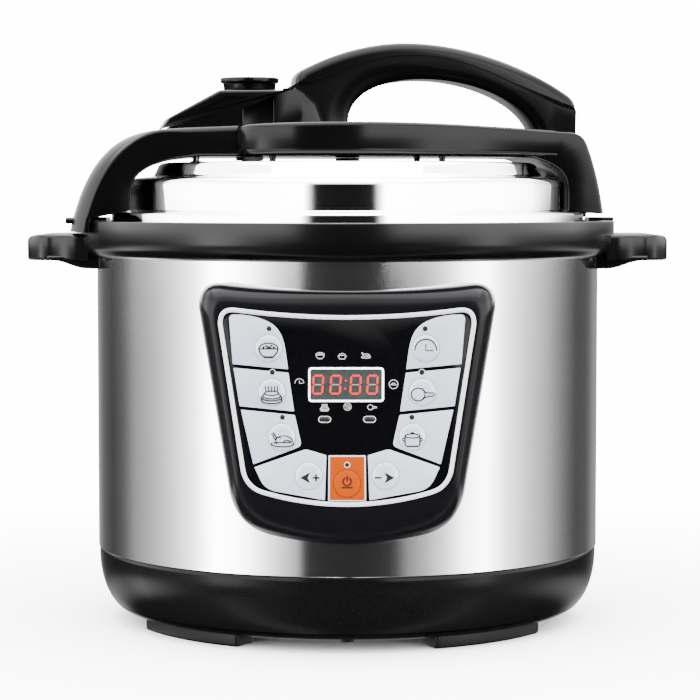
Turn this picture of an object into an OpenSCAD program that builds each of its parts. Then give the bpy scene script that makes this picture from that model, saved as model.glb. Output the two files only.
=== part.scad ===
// Electric pressure cooker, 8 litre class.
// Origin: centre of the body on the surface it stands on. Front faces -Y, +Z is up.

/* [Body] */
// Outer radius of the steel shell
shell_r = 145; // [144.5:0.5:145.5]
// Height of the shell's lower edge
shell_low = 43.2; // [43:0.1:43.5]
// Height of the shell's upper edge, hidden in the collar
shell_top = 212; // [211:0.5:212]
// Sheet thickness of the shell
shell_t = 0.8; // [0.6:0.1:1.0]
// Height of the feet
foot_h = 7.1; // [6.5:0.1:7.1]

/* [Collar and handles] */
// Height of the collar's flat top
collar_top = 230.6; // [230.4:0.1:230.8]
// Outer radius of the collar
collar_r = 154.4; // [154:0.1:154.6]
// Distance from the axis to the outer end of a side handle
handle_reach = 183.5; // [180:0.5:188]
// Half width of a side handle
handle_half = 34; // [30:1:36]

/* [Pot] */
// Outer radius of the inner pot
pot_r = 119.5; // [118:0.5:120]
// Wall thickness of the inner pot
pot_t = 1.5; // [1.2:0.1:2]
// Number of bayonet tabs
tab_count = 10; // [10:1:10]

/* [Lid] */
// Radius of the lid's skirt
lid_r = 136.6; // [136.2:0.1:136.8]
// Height of the lid's flat top
lid_top = 264; // [263:0.5:264]
// How far the lid stands turned from the handles' line, degrees
lid_rest_turn = 7; // [0:1:10]
// Half width of the beam's arms
beam_half = 45; // [40:1:48]
// Half width of the beam's central hub
hub_half = 77; // [74:1:78]
// Half width of the carrying grip
grip_half = 18; // [16:1:20]

/* [Control panel] */
// Distance from the axis to the middle of the panel's face
panel_out = 158; // [157:0.5:159]
// Height of the middle of the panel's face
panel_mid = 135; // [134:0.5:136]
// Lean of the panel's face, its lower edge furthest forward, degrees
panel_lean = 5.4; // [4:0.1:6]
// Radius of a round key
key_r = 7.2; // [6.8:0.1:7.4]

/* [Hidden] */
$fn = 128;

base_cx = 127.6;                 // radius at which the base's rounding starts
base_cz = 40;                    // height at which the base's rounding ends
base_a = shell_r - 0.6 - base_cx;
base_b = base_cz - foot_h + 0.1;
chamber_r = 128.7;               // outer radius of the cooking chamber
chamber_low = 60;
pot_low = 76;
pot_rim = 228.4;
tab_low = 224.5;                 // bayonet tabs on the chamber's rim
tab_r = 133;
lug_low = 219;                   // bayonet lugs inside the lid's skirt
pitch = 360 / tab_count;
skirt_low = 218.5;
beam_low = 266.8;                // underside of the lid beam
beam_crown = 285.7;
beam_fall = 0.0003;              // the beam's top falls by this times the square of the distance
left_in = 133.5;                 // inner radius of the left arm
right_in = 128.5;
valve_x = -56.9;                 // valve axis, in the lid's own frame
float_x = -88;
plate_low = 70;                  // underside of the heating plate
board_w = 92;
board_h = 88;
fields_t = 0.6;                  // thickness of the key fields on the overlay
cup_w = 56;
inlet_z = 26;
inlet_face = 139.5;

// ---- outline helpers ----
function lerp(a, b, t) = a + (b - a) * t;
function bez(p, n) = [for (i = [0:n]) let (t = i / n, s = 1 - t)
    s * s * s * p[0] + 3 * s * s * t * p[1] + 3 * s * t * t * p[2] + t * t * t * p[3]];
function unit(v) = v / norm(v);
function round_corner(a, p, b, r, n = 5) =
    let (q = p + unit(a - p) * r, s = p + unit(b - p) * r)
    [for (i = [0:n]) let (t = i / n) (1 - t) * (1 - t) * q + 2 * t * (1 - t) * p + t * t * s];
function round_all(pts, r) = let (n = len(pts))
    [for (i = [0:n - 1]) each round_corner(pts[(i + n - 1) % n], pts[i], pts[(i + 1) % n], r)];
function bow(a, b, h, n = 8) = [for (i = [1:n - 1]) let (t = i / n)
    lerp(a, b, t) + [0, 4 * h * t * (1 - t)]];

// Shield: wide top edge that dips in the middle, narrower bottom edge that bulges down
function shield(wt, zt, wb, zb, dip, bulge, r) =
    let (tl = [-wt, zt], tr = [wt, zt], br = [wb, zb], bl = [-wb, zb],
        side = 5, mr = [wt - 0.5, zt - r - side], ml = [-wt + 0.5, zt - r - side])
    concat(round_corner(ml, tl, tl + [10, -dip * 0.4], r),
        [for (p = bow(tl, tr, -dip)) if (abs(p[0]) < wt - r) p],
        round_corner(tr + [-10, -dip * 0.4], tr, mr, r),
        round_corner(mr, br, br + [-10, -bulge * 0.5], r),
        [for (p = bow(br, bl, -bulge)) if (abs(p[0]) < wb - r) p],
        round_corner(bl + [10, -bulge * 0.5], bl, ml, r));

module ring(r0, r1, z0, z1) {
    rotate_extrude() translate([r0, z0]) square([r1 - r0, z1 - z0]);
}

module wedge(r, half, z0, z1, at) {
    w = r * 1.5;
    rotate([0, 0, at]) translate([0, 0, z0]) linear_extrude(z1 - z0)
        polygon([[0, 0], [w, -w * tan(half)], [w, w * tan(half)]]);
}

module side_cut(pts, half) {
    rotate([90, 0, 0]) translate([0, 0, -half]) linear_extrude(2 * half) polygon(pts);
}

module in_lid() {
    rotate([0, 0, lid_rest_turn]) children();
}

// The panel's own frame: X across, Y up the face, Z out of the face
module on_panel() {
    translate([0, -panel_out, panel_mid]) rotate([90 - panel_lean, 0, 0]) children();
}

module plate(pts, z0, z1) {
    translate([0, 0, z0]) linear_extrude(z1 - z0) polygon(pts);
}

// ---- body ----
function base_at(z, t = 0) = base_cx
    + (base_a - t) * sqrt(max(0, 1 - pow((base_cz - z) / (base_b - t), 2)));

module outer_shell() color("silver") {
    difference() {
        ring(shell_r - shell_t, shell_r, shell_low, shell_top);
        translate([-50, -shell_r - 5, 80]) cube([100, 40, 110]);
        for (x = [-20, 20]) translate([x, shell_r - 10, 170]) rotate([-90, 0, 0])
            cylinder(h = 20, r = 2, $fn = 24);
    }
}

module base_housing() color("black") {
    wall = 3;
    z0 = 11.2;
    outer = [for (i = [0:8]) let (z = lerp(z0, base_cz, sin(i * 90 / 8))) [base_at(z), z]];
    inner = [for (i = [0:6]) let (z = lerp(base_cz, z0 + 2.4, i / 6)) [base_at(z, wall), z]];
    difference() {
        union() {
            rotate_extrude() polygon(concat(outer,
                [[base_at(base_cz), 42.9], [143.7, 42.9], [143.7, 50], [141.4, 50]],
                inner, [[118, z0 + 2.2], [118, z0]]));
            for (a = [0, 180, 270]) rotate([0, 0, a]) translate([123, 0, z0 + 0.5])
                cylinder(h = 14, r = 4.5, $fn = 32);
        }
        for (a = [0, 180, 270]) rotate([0, 0, a]) translate([123, 0, 8])
            cylinder(h = 14, r = 1.6, $fn = 32);
        translate([-16.5, inlet_face - 6, inlet_z - 12.5]) cube([33, 20, 25]);
        translate([-14.6, 100, inlet_z - 10.6]) cube([29.2, 50, 21.2]);
    }
}

module bottom_cover() color("dimgray") {
    edge = [for (z = [foot_h:0.6:10.7]) [base_at(z), z]];
    difference() {
        rotate_extrude() polygon(concat([[0, foot_h]], edge,
            [[126, 10.7], [124, 9.4], [0, 9.4]]));
        for (a = [0, 180, 270]) rotate([0, 0, a]) translate([123, 0, 6])
            cylinder(h = 8, r = 1.8, $fn = 32);
        for (a = [0:15:345], r = [45, 68]) rotate([0, 0, a]) translate([r, -1.5, 6])
            cube([16, 3, 5]);
    }
}

module foot(i) color("black") {
    mid = [46, 134, 224, 310][i];
    rotate([0, 0, mid - 18]) rotate_extrude(angle = 36)
        polygon([[108, foot_h], [108, 1], [109, 0], [125.4, 0], [127, 1], [127, foot_h]]);
}

module base_screws() color("gray") {
    for (a = [0, 180, 270]) rotate([0, 0, a]) translate([123, 0, 5.5]) {
        difference() {
            cylinder(h = 1.6, r = 3.6, $fn = 32);
            translate([-2.5, -0.4, -1]) cube([5, 0.8, 1.8]);
            translate([-0.4, -2.5, -1]) cube([0.8, 5, 1.8]);
        }
        translate([0, 0, 1.5]) cylinder(h = 14, r = 1.45, $fn = 32);
    }
}

// ---- collar and handles ----
module collar() color("dimgray") {
    top = collar_top;
    difference() {
        union() {
            rotate_extrude() polygon([[shell_r + 0.6, 209.9], [151.5, 213.4], [153.3, 217.4],
                [collar_r, 222.6], [collar_r, top - 0.5], [collar_r - 0.5, top], [139.4, top],
                [139, top - 0.4], [139, 215], [130.2, 215], [130.2, 212.8], [141.4, 212.8],
                [141.4, top - 3], [151.2, top - 3], [151.2, 219], [149.8, 215.8],
                [shell_r + 0.6, 213]]);
            for (s = [0, 180]) intersection() {
                ring(139.4, collar_r - 0.5, top - 1, top + 1.8);
                rotate([0, 0, s]) translate([100, -12.4, top - 2]) cube([60, 24.8, 5]);
            }
        }
        for (s = [0, 180], y = [-22, 22]) rotate([0, 0, s]) translate([140, y, 219.5])
            rotate([0, 90, 0]) cylinder(h = 30, r = 2.2, $fn = 24);
    }
}

module side_handle(s) color("black") {
    h = handle_half;
    top = 223;
    root = 138;
    outline = round_all([[root, -h - 4], [158, -h - 4], [164, -h], [handle_reach, -h + 2],
        [handle_reach, h - 2], [164, h], [158, h + 4], [root, h + 4]], 5);
    inner = round_all([[root, -h + 3], [handle_reach - 4, -h + 6],
        [handle_reach - 4, h - 6], [root, h - 3]], 4);
    rotate([0, 0, s]) difference() {
        union() {
            translate([0, 0, 208]) linear_extrude(top - 208) polygon(outline);
            side_cut([[root, 203.3], [148, 203.3], [151, 203.6], [160, 207], [164, 209],
                [164, 212], [root, 212]], h + 2);
        }
        difference() {
            translate([0, 0, 190]) cylinder(h = 50, r = collar_r + 0.1);
            ring(shell_r + 0.4, 160, 200, 209.6);
        }
        translate([0, 0, 190]) cylinder(h = 50, r = shell_r + 0.4);
        intersection() {
            translate([0, 0, 200]) linear_extrude(18) polygon(inner);
            translate([160.5, -50, 200]) cube([50, 100, 20]);
        }
        for (y = [-22, 22]) translate([150, y, 219.5]) rotate([0, 90, 0])
            cylinder(h = 8, r = 1.6, $fn = 24);
    }
}

module handle_screws() color("gray") {
    for (s = [0, 180], y = [-22, 22]) rotate([0, 0, s]) {
        translate([147, y, 219.5]) rotate([0, 90, 0]) cylinder(h = 10.4, r = 1.45, $fn = 24);
        translate([145, y, 219.5]) rotate([0, 90, 0]) cylinder(h = 2.1, r = 3.4, $fn = 24);
    }
}

// ---- inside the body ----
module cooking_chamber() color("lightgray") {
    t = 1.2;
    difference() {
        union() {
            rotate_extrude() polygon([[6, chamber_low], [chamber_r - 3, chamber_low],
                [chamber_r, chamber_low + 3], [chamber_r, 211.4], [139.6, 211.4],
                [139.6, 212.5], [chamber_r, 212.5], [chamber_r, 227], [chamber_r - t, 227],
                [chamber_r - t, chamber_low + 3.5], [chamber_r - 3.5, chamber_low + t],
                [6, chamber_low + t]]);
            for (i = [0:tab_count - 1]) intersection() {
                ring(chamber_r - 0.5, tab_r, tab_low, 227);
                wedge(tab_r, 8, 220, 230, i * pitch + lid_rest_turn);
            }
        }
        for (x = [-12, 12]) translate([x, -65, chamber_low - 1]) cylinder(h = 4, r = 5, $fn = 32);
    }
}

module heat_shield() color("silver") {
    rotate_extrude() polygon([[25, 50.4], [134.6, 50.4], [134.6, 210.4], [139, 210.4],
        [139, 211.1], [134, 211.1], [134, 51], [25, 51]]);
}

module heating_plate() color("gray") {
    difference() {
        union() {
            ring(17.5, 86, plate_low, pot_low - 0.05);
            ring(74, 82, chamber_low + 1.2, plate_low + 0.5);
        }
        for (x = [-12, 12]) translate([x, -78, chamber_low]) cylinder(h = 6, r = 4, $fn = 24);
    }
}

module heating_element() color("dimgray") {
    r = 65;
    a0 = 281;
    rotate([0, 0, a0]) rotate_extrude(angle = 338) translate([r, 65.7]) circle(r = 4, $fn = 32);
    for (x = [-12.4, 12.4]) translate([x, -63.9, 53]) cylinder(h = 12.7, r = 3, $fn = 32);
}

module temperature_sensor() color("lightgray") {
    cylinder_stack = [[57, 1.5, 7.5], [58, 12, 4], [68, 7.9, 15.5]];
    for (s = cylinder_stack) translate([0, 0, s[0]]) cylinder(h = s[1], r = s[2], $fn = 48);
}

// Helical wire as one swept solid
module sensor_spring() color("gray") {
    turns = 3;
    per = 14;
    sides = 8;
    r = 8.5;
    w = 0.5;
    z0 = chamber_low + 1.2 + w + 0.1;
    rise = 5.4;
    n = turns * per;
    pts = [for (i = [0:n], j = [0:sides - 1]) let (a = i * 360 / per, b = j * 360 / sides)
        [(r + w * cos(b)) * cos(a), (r + w * cos(b)) * sin(a), z0 + rise * i / n + w * sin(b)]];
    skin = [for (i = [0:n - 1], j = [0:sides - 1]) let (k = (j + 1) % sides)
        [i * sides + j, i * sides + k, (i + 1) * sides + k, (i + 1) * sides + j]];
    caps = [[for (j = [sides - 1:-1:0]) j], [for (j = [0:sides - 1]) n * sides + j]];
    polyhedron(pts, concat(skin, caps));
}

module pressure_switch() color("black") {
    translate([-52, -6, 52]) cube([28, 12, 6.6]);
    translate([-38, 0, 58]) cylinder(h = 1.8, r = 2, $fn = 24);
}

module thermal_fuse() color("white") {
    translate([30, -7, 57]) rotate([-90, 0, 0]) cylinder(h = 14, r = 2.4, $fn = 24);
    translate([26.5, -2, 58]) cube([7, 4, 1.9]);
}

module power_board() color("green") {
    translate([-62, -55, 20]) cube([112, 84, 1.6]);
    for (x = [-55, 43], y = [-48, 22]) translate([x, y, 9.4]) cylinder(h = 10.7, r = 3, $fn = 24);
}

module board_components() color("goldenrod") {
    z = 21.6;
    translate([-54, -40, z]) cube([34, 28, 22]);
    translate([-12, -42, z]) cube([20, 16, 16]);
    translate([16, -42, z]) cube([24, 12, 12]);
    for (x = [-48, -34, -20]) translate([x, 8, z]) cylinder(h = 18, r = 5, $fn = 24);
    translate([0, 2, z]) cube([14, 14, 5]);
    for (i = [0:3]) translate([24 + 6 * i, 8, z]) cylinder(h = 9, r = 2, $fn = 24);
}

module power_inlet() color("black") {
    z = inlet_z;
    difference() {
        union() {
            translate([-16, inlet_face - 2, z - 12]) cube([32, 2, 24]);
            translate([-14, inlet_face - 22, z - 10]) cube([28, 21, 20]);
        }
        side = [[-12.2, -8], [12.2, -8], [12.2, 4], [8.5, 8], [-8.5, 8], [-12.2, 4]];
        translate([0, inlet_face + 1, z]) rotate([90, 0, 0]) linear_extrude(17) polygon(side);
        inlet_blades();
    }
}

// Two live blades and the earth blade, from behind the socket to near its face
module inlet_blades() {
    for (p = [[-7, -2], [7, -2], [0, 2]])
        translate([p[0] - 1, inlet_face - 28, inlet_z + p[1] - 2]) cube([2, 22.5, 4]);
}

module inlet_pins() color("silver") {
    inlet_blades();
}

// ---- condensate cup at the rear ----
module cup_bracket() color("black") {
    y1 = 163.5;
    difference() {
        union() {
            translate([-cup_w / 2 - 4, 130, 142]) cube([cup_w + 8, 18, 62]);
            translate([-cup_w / 2 - 4, 140, 200.5]) cube([cup_w + 8, y1 - 140, 3.5]);
            for (s = [-1, 1]) translate([s * (cup_w / 2 + 2.4) - 1.6, 140, 150])
                cube([3.2, 17, 52]);
        }
        translate([0, 0, 100]) cylinder(h = 120, r = shell_r + 0.05);
        translate([0, 156, 195]) cylinder(h = 20, r = 3, $fn = 32);
    }
    for (x = [-20, 20]) translate([x, shell_r - 6, 170]) rotate([-90, 0, 0])
        cylinder(h = 9, r = 1.7, $fn = 24);
}

module condensate_cup() color([0.85, 0.88, 0.9, 0.5]) {
    w = cup_w;
    t = 1.8;
    outer = round_all([[-w / 2, 148.6], [w / 2, 148.6], [w / 2, 163], [-w / 2, 163]], 4);
    inner = round_all([[-w / 2 + t, 148.6 + t], [w / 2 - t, 148.6 + t],
        [w / 2 - t, 163 - t], [-w / 2 + t, 163 - t]], 3);
    difference() {
        translate([0, 0, 146]) linear_extrude(52) polygon(outer);
        translate([0, 0, 146 + t]) linear_extrude(60) polygon(inner);
    }
}

// ---- control panel ----
function face(out) = shield(67.7 + out, 53 + out, 53.8 + out, -42.5 - out, 5.2, 9.5, 10);

module panel_bezel() color("black") {
    foot = shield(79.3, 196.6, 59, 70.4, 3.8, 9.3, 14);
    difference() {
        hull() {
            on_panel() plate(face(1), -1.6, -0.4);
            intersection() {
                translate([0, -100, 0]) rotate([90, 0, 0]) linear_extrude(60) polygon(foot);
                cylinder(h = 260, r = shell_r + 0.3, $fn = 96);
            }
        }
        cylinder(h = 260, r = shell_r + 0.05, $fn = 96);
        on_panel() plate(face(0.15), -2.6, 1);
        on_panel() translate([-48, -45, -40]) cube([96, 90, 45]);
        on_panel() for (k = keys()) translate([k[0], k[1], -6])
            cylinder(h = 7, r = key_r + 0.3, $fn = 48);
    }
}

module panel_trim_ring() color("silver") {
    on_panel() difference() {
        plate(face(0), -1.4, 1);
        plate(face(-2.3), -2, 2);
    }
}

module panel_overlay() color("black") {
    on_panel() difference() {
        union() {
            plate(face(0), -2.55, -1.5);
            plate(face(-2.5), -2, 0);
        }
        for (k = keys()) translate([k[0], k[1], -4]) cylinder(h = 8, r = key_r + 0.3, $fn = 48);
    }
}

// Key centres in the panel's frame: three down the left, three down the right, then
// minus, cancel and plus along the bottom
function keys() = [[-41, 30.4], [-39.3, 7.6], [-34, -15.8], [41, 30.4], [39.3, 7.6],
    [34, -15.8], [-20, -36], [0, -40], [20, -36]];

module key(i) color(i == 7 ? "darkorange" : "gainsboro") {
    k = keys()[i];
    on_panel() translate([k[0], k[1], 0]) {
        cylinder(h = 1.7, r = key_r, $fn = 48);
        translate([0, 0, -4.5]) cylinder(h = 5, r = key_r, $fn = 48);
        translate([0, 0, -9.6]) cylinder(h = 5.6, r = 2, $fn = 24);
    }
}

// The four fields of the left half; the right half mirrors them
function fields() = [
    [[-61.8, 48.4], [-49, 47.4], [-36.5, 42], [-32, 32], [-30.8, 19.6], [-59.6, 22.3]],
    [[-59.2, 20.4], [-30.6, 17.8], [-27.6, -2.4], [-56, 0.4]],
    [[-55.4, -1.4], [-27.3, -4.2], [-23.6, -20.4], [-48.8, -29.9]],
    [[-48.3, -31.4], [-21.5, -22], [-10.8, -25.2], [-11.6, -48.6], [-42.7, -43]]];

module key_fields() color("gainsboro") {
    on_panel() difference() {
        for (m = [0, 1]) mirror([m, 0, 0]) for (f = fields())
            plate(round_all(f, len(f) > 5 ? 3 : 1.2), 0, fields_t);
        for (k = keys()) translate([k[0], k[1], -1]) cylinder(h = 4, r = key_r + 0.3, $fn = 48);
    }
}

module cancel_field() color("darkorange") {
    on_panel() difference() {
        plate(round_all([[-9.7, -25.2], [9.7, -25.2], [9.9, -49.2], [-9.9, -49.2]], 1.5),
            0, fields_t);
        translate([keys()[7][0], keys()[7][1], -1]) cylinder(h = 4, r = key_r + 0.3, $fn = 48);
    }
}

module display_window() color([0.15, 0.1, 0.1]) {
    on_panel() plate(round_all([[-20, 2.7], [19, 2.7], [19, 20.6], [-20, 20.6]], 1.5), 0, 0.5);
}

module lamp_lenses() color("ivory") {
    on_panel() {
        for (x = [-11.7, 11.7]) translate([x, -6.5, 0]) hull() {
            translate([-1.6, 0, 0]) cylinder(h = 0.8, r = 1.5, $fn = 24);
            translate([1.6, 0, 0]) cylinder(h = 0.8, r = 1.5, $fn = 24);
        }
        for (k = [0:5]) translate([keys()[k][0], keys()[k][1] + 10.4, fields_t])
            cylinder(h = 0.4, r = 1.1, $fn = 24);
        translate([0, -30.5, fields_t]) cylinder(h = 0.4, r = 1.1, $fn = 24);
    }
}

module control_board() color("green") {
    on_panel() {
        translate([-board_w / 2, -board_h / 2, -14]) cube([board_w, board_h, 1.6]);
        for (k = keys()) if (k[1] > -38) translate([k[0] - 3, k[1] - 3, -12.5])
            cube([6, 6, 1.9]);
        translate([-3, -43.5, -12.5]) cube([6, 6, 1.9]);
        for (x = [-43, 43], y = [-41, 41]) translate([x, y, -12.5])
            cylinder(h = 9.8, r = 2, $fn = 24);
    }
}

module display_module() color("dimgray") {
    on_panel() translate([-20, 2.5, -12.3]) cube([39.5, 18, 9.4]);
}

// ---- pot ----
module inner_pot() color("silver") {
    t = pot_t;
    r = pot_r;
    rotate_extrude() polygon([[0, pot_low], [r - 12, pot_low], [r - 4, pot_low + 3.5],
        [r, pot_low + 12], [r, pot_rim - 2.4], [126.4, pot_rim - 2.4], [127, pot_rim - 1.2],
        [126.4, pot_rim], [r - t, pot_rim], [r - t, pot_low + 12.5],
        [r - t - 3.6, pot_low + 5], [r - t - 11, pot_low + t], [0, pot_low + t]]);
}

// ---- lid ----
module sealing_ring() color("white") {
    low = pot_rim + 0.05;
    rotate_extrude() polygon([[119, low], [126, low], [126.6, 231], [125.2, 235.2],
        [121.5, 235.2], [121.5, 233.8], [124, 233.8], [124, 231.8], [119, 231.8]]);
}

module inner_lid_plate() color("gainsboro") {
    in_lid() difference() {
        rotate_extrude() polygon([[5.2, 240], [96, 240], [104, 235], [112, 232.3],
            [123.6, 232.3], [123.6, 233.3], [112.4, 233.3], [104.8, 236], [96.4, 241],
            [5.2, 241]]);
        for (a = [0:30:330]) rotate([0, 0, a]) translate([88, 0, 236])
            cylinder(h = 8, r = 2.2, $fn = 24);
        translate([valve_x, 0, 236]) cylinder(h = 8, r = 9, $fn = 32);
        translate([float_x, 0, 236]) cylinder(h = 8, r = 5, $fn = 32);
    }
}

module lid_dome() color("silver") {
    t = 1.4;
    outer = [[lid_r, skirt_low], [lid_r, 234.4], [lid_r - 0.9, 235.4], [127.4, 236.2],
        [126, 237.6], [126, 249.6], [124.4, 252.8], [121, 254.6], [112.2, 255.6],
        [111.4, 256.4], [109, 262], [106.4, 263.6], [103, lid_top]];
    inner = [[102.6, lid_top - t], [105.6, 262.2], [107.8, 261], [110.2, 255.4],
        [111.4, 254.2], [120.6, 253.2], [123.2, 251.8], [124.6, 249], [124.6, 237],
        [126.4, 234.9], [lid_r - t, 234.2], [lid_r - t, skirt_low]];
    in_lid() difference() {
        union() {
            rotate_extrude() polygon(concat([[0, lid_top]], [for (i = [len(outer) - 1:-1:0])
                outer[i]], [for (i = [len(inner) - 1:-1:0]) inner[i]], [[0, lid_top - t]]));
            for (i = [0:tab_count - 1]) intersection() {
                ring(131.4, lid_r - 0.5, lug_low, lug_low + 2.4);
                wedge(lid_r, 8, 215, 225, (i + 0.5) * pitch);
            }
        }
        translate([0, 0, 255]) cylinder(h = 20, r = 3.3, $fn = 32);
        translate([valve_x, 0, 255]) cylinder(h = 20, r = 5.3, $fn = 32);
        translate([float_x, 0, 255]) cylinder(h = 20, r = 3.4, $fn = 32);
        for (p = screw_places()) translate([p[0], p[1], 255]) cylinder(h = 20, r = 2.2, $fn = 24);
    }
}

module lid_nut() color("dimgray") {
    in_lid() {
        translate([0, 0, lid_top + 0.02]) cylinder(h = 2.6, r = 7, $fn = 6);
        translate([0, 0, 238]) cylinder(h = 27, r = 3, $fn = 32);
        translate([0, 0, 236]) cylinder(h = 3.95, r = 9, $fn = 32);
        translate([0, 0, 228.8]) cylinder(h = 8, r = 6, $fn = 32);
    }
}

function screw_places() = [[-48, -48], [48, -48], [-48, 48], [48, 48]];

module beam_screws() color("gray") {
    in_lid() for (p = screw_places()) translate([p[0], p[1], 260.5]) {
        cylinder(h = 2, r = 4, $fn = 32);
        cylinder(h = 16, r = 1.9, $fn = 32);
    }
}

function left_arm() = concat(bez([[160.4, 224.2], [155, 250], [143, 280], [112, 282]], 12),
    [[60, 282], [60, beam_low], [94, beam_low]],
    bez([[108, 265.6], [126, 262], [left_in, 257], [left_in, 246]], 6),
    [[left_in, 236.6], [138.5, 236.6], [138.5, 233.2], [155.2, 233.2], [155.2, 224.2]]);

function right_arm() = concat(bez([[148, 234.5], [145.5, 252], [141.5, 272], [135.5, 280]], 10),
    [[112, 282], [60, 282], [60, beam_low], [94, beam_low]],
    bez([[108, 266.4], [122, 263], [right_in, 258], [right_in, 248]], 6),
    [[right_in, 237], [136.9, 235.9], [138, 234.5]]);

// Front edge of the hub: a rounded corner at the valve's end, a long sweep at the other
function hub_front() = concat(
    bez([[-68, -44], [-68, -62], [-45, -hub_half], [-4, -hub_half]], 8),
    bez([[-4, -hub_half], [45, -hub_half], [70, -60], [112, -44]], 10));

function hub_outline() = let (f = hub_front())
    concat(f, [for (i = [len(f) - 1:-1:0]) [f[i][0], -f[i][1]]]);

module lid_beam() color("black") {
    crown = [for (x = [-140:10:140]) [x, beam_crown - beam_fall * x * x]];
    in_lid() difference() {
        union() {
            intersection() {
                rotate_extrude() polygon(left_arm());
                translate([-170, -beam_half, 200]) cube([150, 2 * beam_half, 100]);
            }
            intersection() {
                rotate_extrude() polygon(right_arm());
                translate([20, -beam_half, 200]) cube([150, 2 * beam_half, 100]);
            }
            intersection() {
                side_cut(concat([[-138, 272]], crown, [[138, 272]]), beam_half);
                translate([0, 0, 200]) cylinder(h = 100, r = 138);
            }
            intersection() {
                translate([0, 0, beam_low]) linear_extrude(30) polygon(hub_outline());
                side_cut(concat([[-140, 260]], crown, [[140, 260]]), hub_half + 1);
            }
            translate([138.6, -7.2, 232.8]) cylinder(h = 5, r = 1.6, $fn = 24);
        }
        translate([0, 0, 250]) cylinder(h = 27, r = 20);
        pin(4);
        translate([valve_x, 0, 250]) cylinder(h = 60, r = 9, $fn = 48);
        translate([float_x, 0, 250]) cylinder(h = 60, r = 4.5, $fn = 32);
        for (p = screw_places()) translate([p[0], p[1], 250]) cylinder(h = 27, r = 2, $fn = 24);
    }
}

module pin(h) {
    translate([-158.7, 0, 230.6]) rotate([0, -90, 0]) cylinder(h = h, r = 1.8, $fn = 32);
}

module stand_pin() color("dimgray") {
    in_lid() pin(4.3);
}

// Seam between the valve housing and the grip body, along the beam
function seam_left() = [[-104, 284], [-62, 293.7], [-42, 302.2], [-31.8, 307.4]];

module valve_housing() color("black") {
    lift = 0.3;
    pts = concat([[-108.4, 283.1], [-104.7, 289], [-75.7, 304.6], [-36, 304.8], [-32.4, 307.6]],
        [for (i = [2:-1:0]) seam_left()[i] + [0, lift]]);
    in_lid() difference() {
        intersection() {
            side_cut(pts, 25);
            translate([valve_x - 6, 0, 270]) cylinder(h = 60, r = 50);
        }
        translate([valve_x, 0, 270]) cylinder(h = 60, r = 13, $fn = 64);
        translate([float_x, 0, 270]) cylinder(h = 60, r = 4.5, $fn = 32);
    }
}

function cover_top() = concat(
    bez([[-31.9, 308.2], [-31.8, 314], [-29, 316.4], [-24.7, 318.4]], 5),
    bez([[-24.7, 318.4], [-8, 326.8], [12, 332.4], [32.7, 332.4]], 8),
    bez([[32.7, 332.4], [66, 332.4], [102, 320], [127, 302.8]], 10),
    [[130.2, 299.2], [131.4, 296], [131.7, 293.4]]);

function cover_seam() = concat(
    bez([[-31.9, 308.2], [-18, 306.4], [0, 325], [36, 325.2]], 8),
    bez([[36, 325.2], [78, 325.2], [104, 300], [131.7, 293.4]], 8));

function opening() = concat(
    bez([[-1.5, 284.9], [-2.6, 303.5], [18, 311.8], [42, 311.8]], 8),
    bez([[42, 311.8], [72, 311.8], [102, 299], [108.5, 281.6]], 8));

function beam_line(x, up) = [x, beam_crown - beam_fall * x * x + up];

module grip_body() color("black") {
    body = concat(seam_left(), [for (p = cover_seam()) p - [0, 0.2]],
        [beam_line(131.7, 0.1)], [for (x = [120:-10:-100]) beam_line(x, 0.1)],
        [[-104, 282.6]]);
    in_lid() difference() {
        union() {
            side_cut(body, grip_half);
            intersection() {
                side_cut(concat(seam_left(), [beam_line(-20, 12), beam_line(-8, 0.1)],
                    [for (x = [-20:-10:-100]) beam_line(x, 0.1)], [[-104, 282.6]]), 25);
                translate([valve_x + 4, 0, 270]) cylinder(h = 60, r = 52);
            }
        }
        side_cut(concat(opening(), [[108.5, 270], [-1.5, 270]]), 30);
        translate([valve_x, 0, 270]) cylinder(h = 60, r = 13, $fn = 64);
        translate([float_x, 0, 270]) cylinder(h = 60, r = 4.5, $fn = 32);
        for (s = [-1, 1]) translate([-63, s * 21 - 5, 284]) cube([19, 10, 20]);
    }
}

module grip_cover() color("black") {
    outline = concat(cover_top(), [for (i = [len(cover_seam()) - 2:-1:1]) cover_seam()[i]]);
    in_lid() side_cut(outline, grip_half + 1);
}

// ---- valves ----
module steam_pipe() color("silver") {
    in_lid() translate([valve_x, 0, 0]) difference() {
        union() {
            translate([0, 0, 256]) cylinder(h = 42, r = 5, $fn = 48);
            translate([0, 0, 265]) cylinder(h = 4, r = 8, $fn = 6);
            translate([0, 0, 256.5]) cylinder(h = 5.9, r = 8, $fn = 48);
            translate([0, 0, 297.9]) cylinder(h = 4, r1 = 5, r2 = 2.4, $fn = 48);
        }
        translate([0, 0, 250]) cylinder(h = 60, r = 1.5, $fn = 32);
    }
}

module valve_weight() color("silver") {
    in_lid() translate([valve_x, 0, 0]) difference() {
        translate([0, 0, 292]) cylinder(h = 13, r = 8, $fn = 48);
        translate([0, 0, 290]) cylinder(h = 12.2, r = 5.3, $fn = 48);
    }
}

module valve_cap() color("black") {
    in_lid() translate([valve_x, 0, 0]) difference() {
        union() {
            translate([0, 0, 305.3]) cylinder(h = 4, r = 14.9, $fn = 64);
            translate([0, 0, 309]) cylinder(h = 3.6, r = 16.8, $fn = 64);
            translate([0, 0, 293]) cylinder(h = 13, r = 12, $fn = 64);
        }
        translate([0, 0, 290]) cylinder(h = 15.1, r = 8.05, $fn = 64);
        rotate([0, 0, 90]) translate([15, -1.2, 308]) cube([4, 2.4, 8]);
    }
}

module float_valve() color("crimson") {
    in_lid() translate([float_x, 0, 0]) {
        translate([0, 0, 248]) cylinder(h = 46, r = 2, $fn = 32);
        translate([0, 0, 256]) cylinder(h = 1.2, r = 4, $fn = 32);
    }
}

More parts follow.
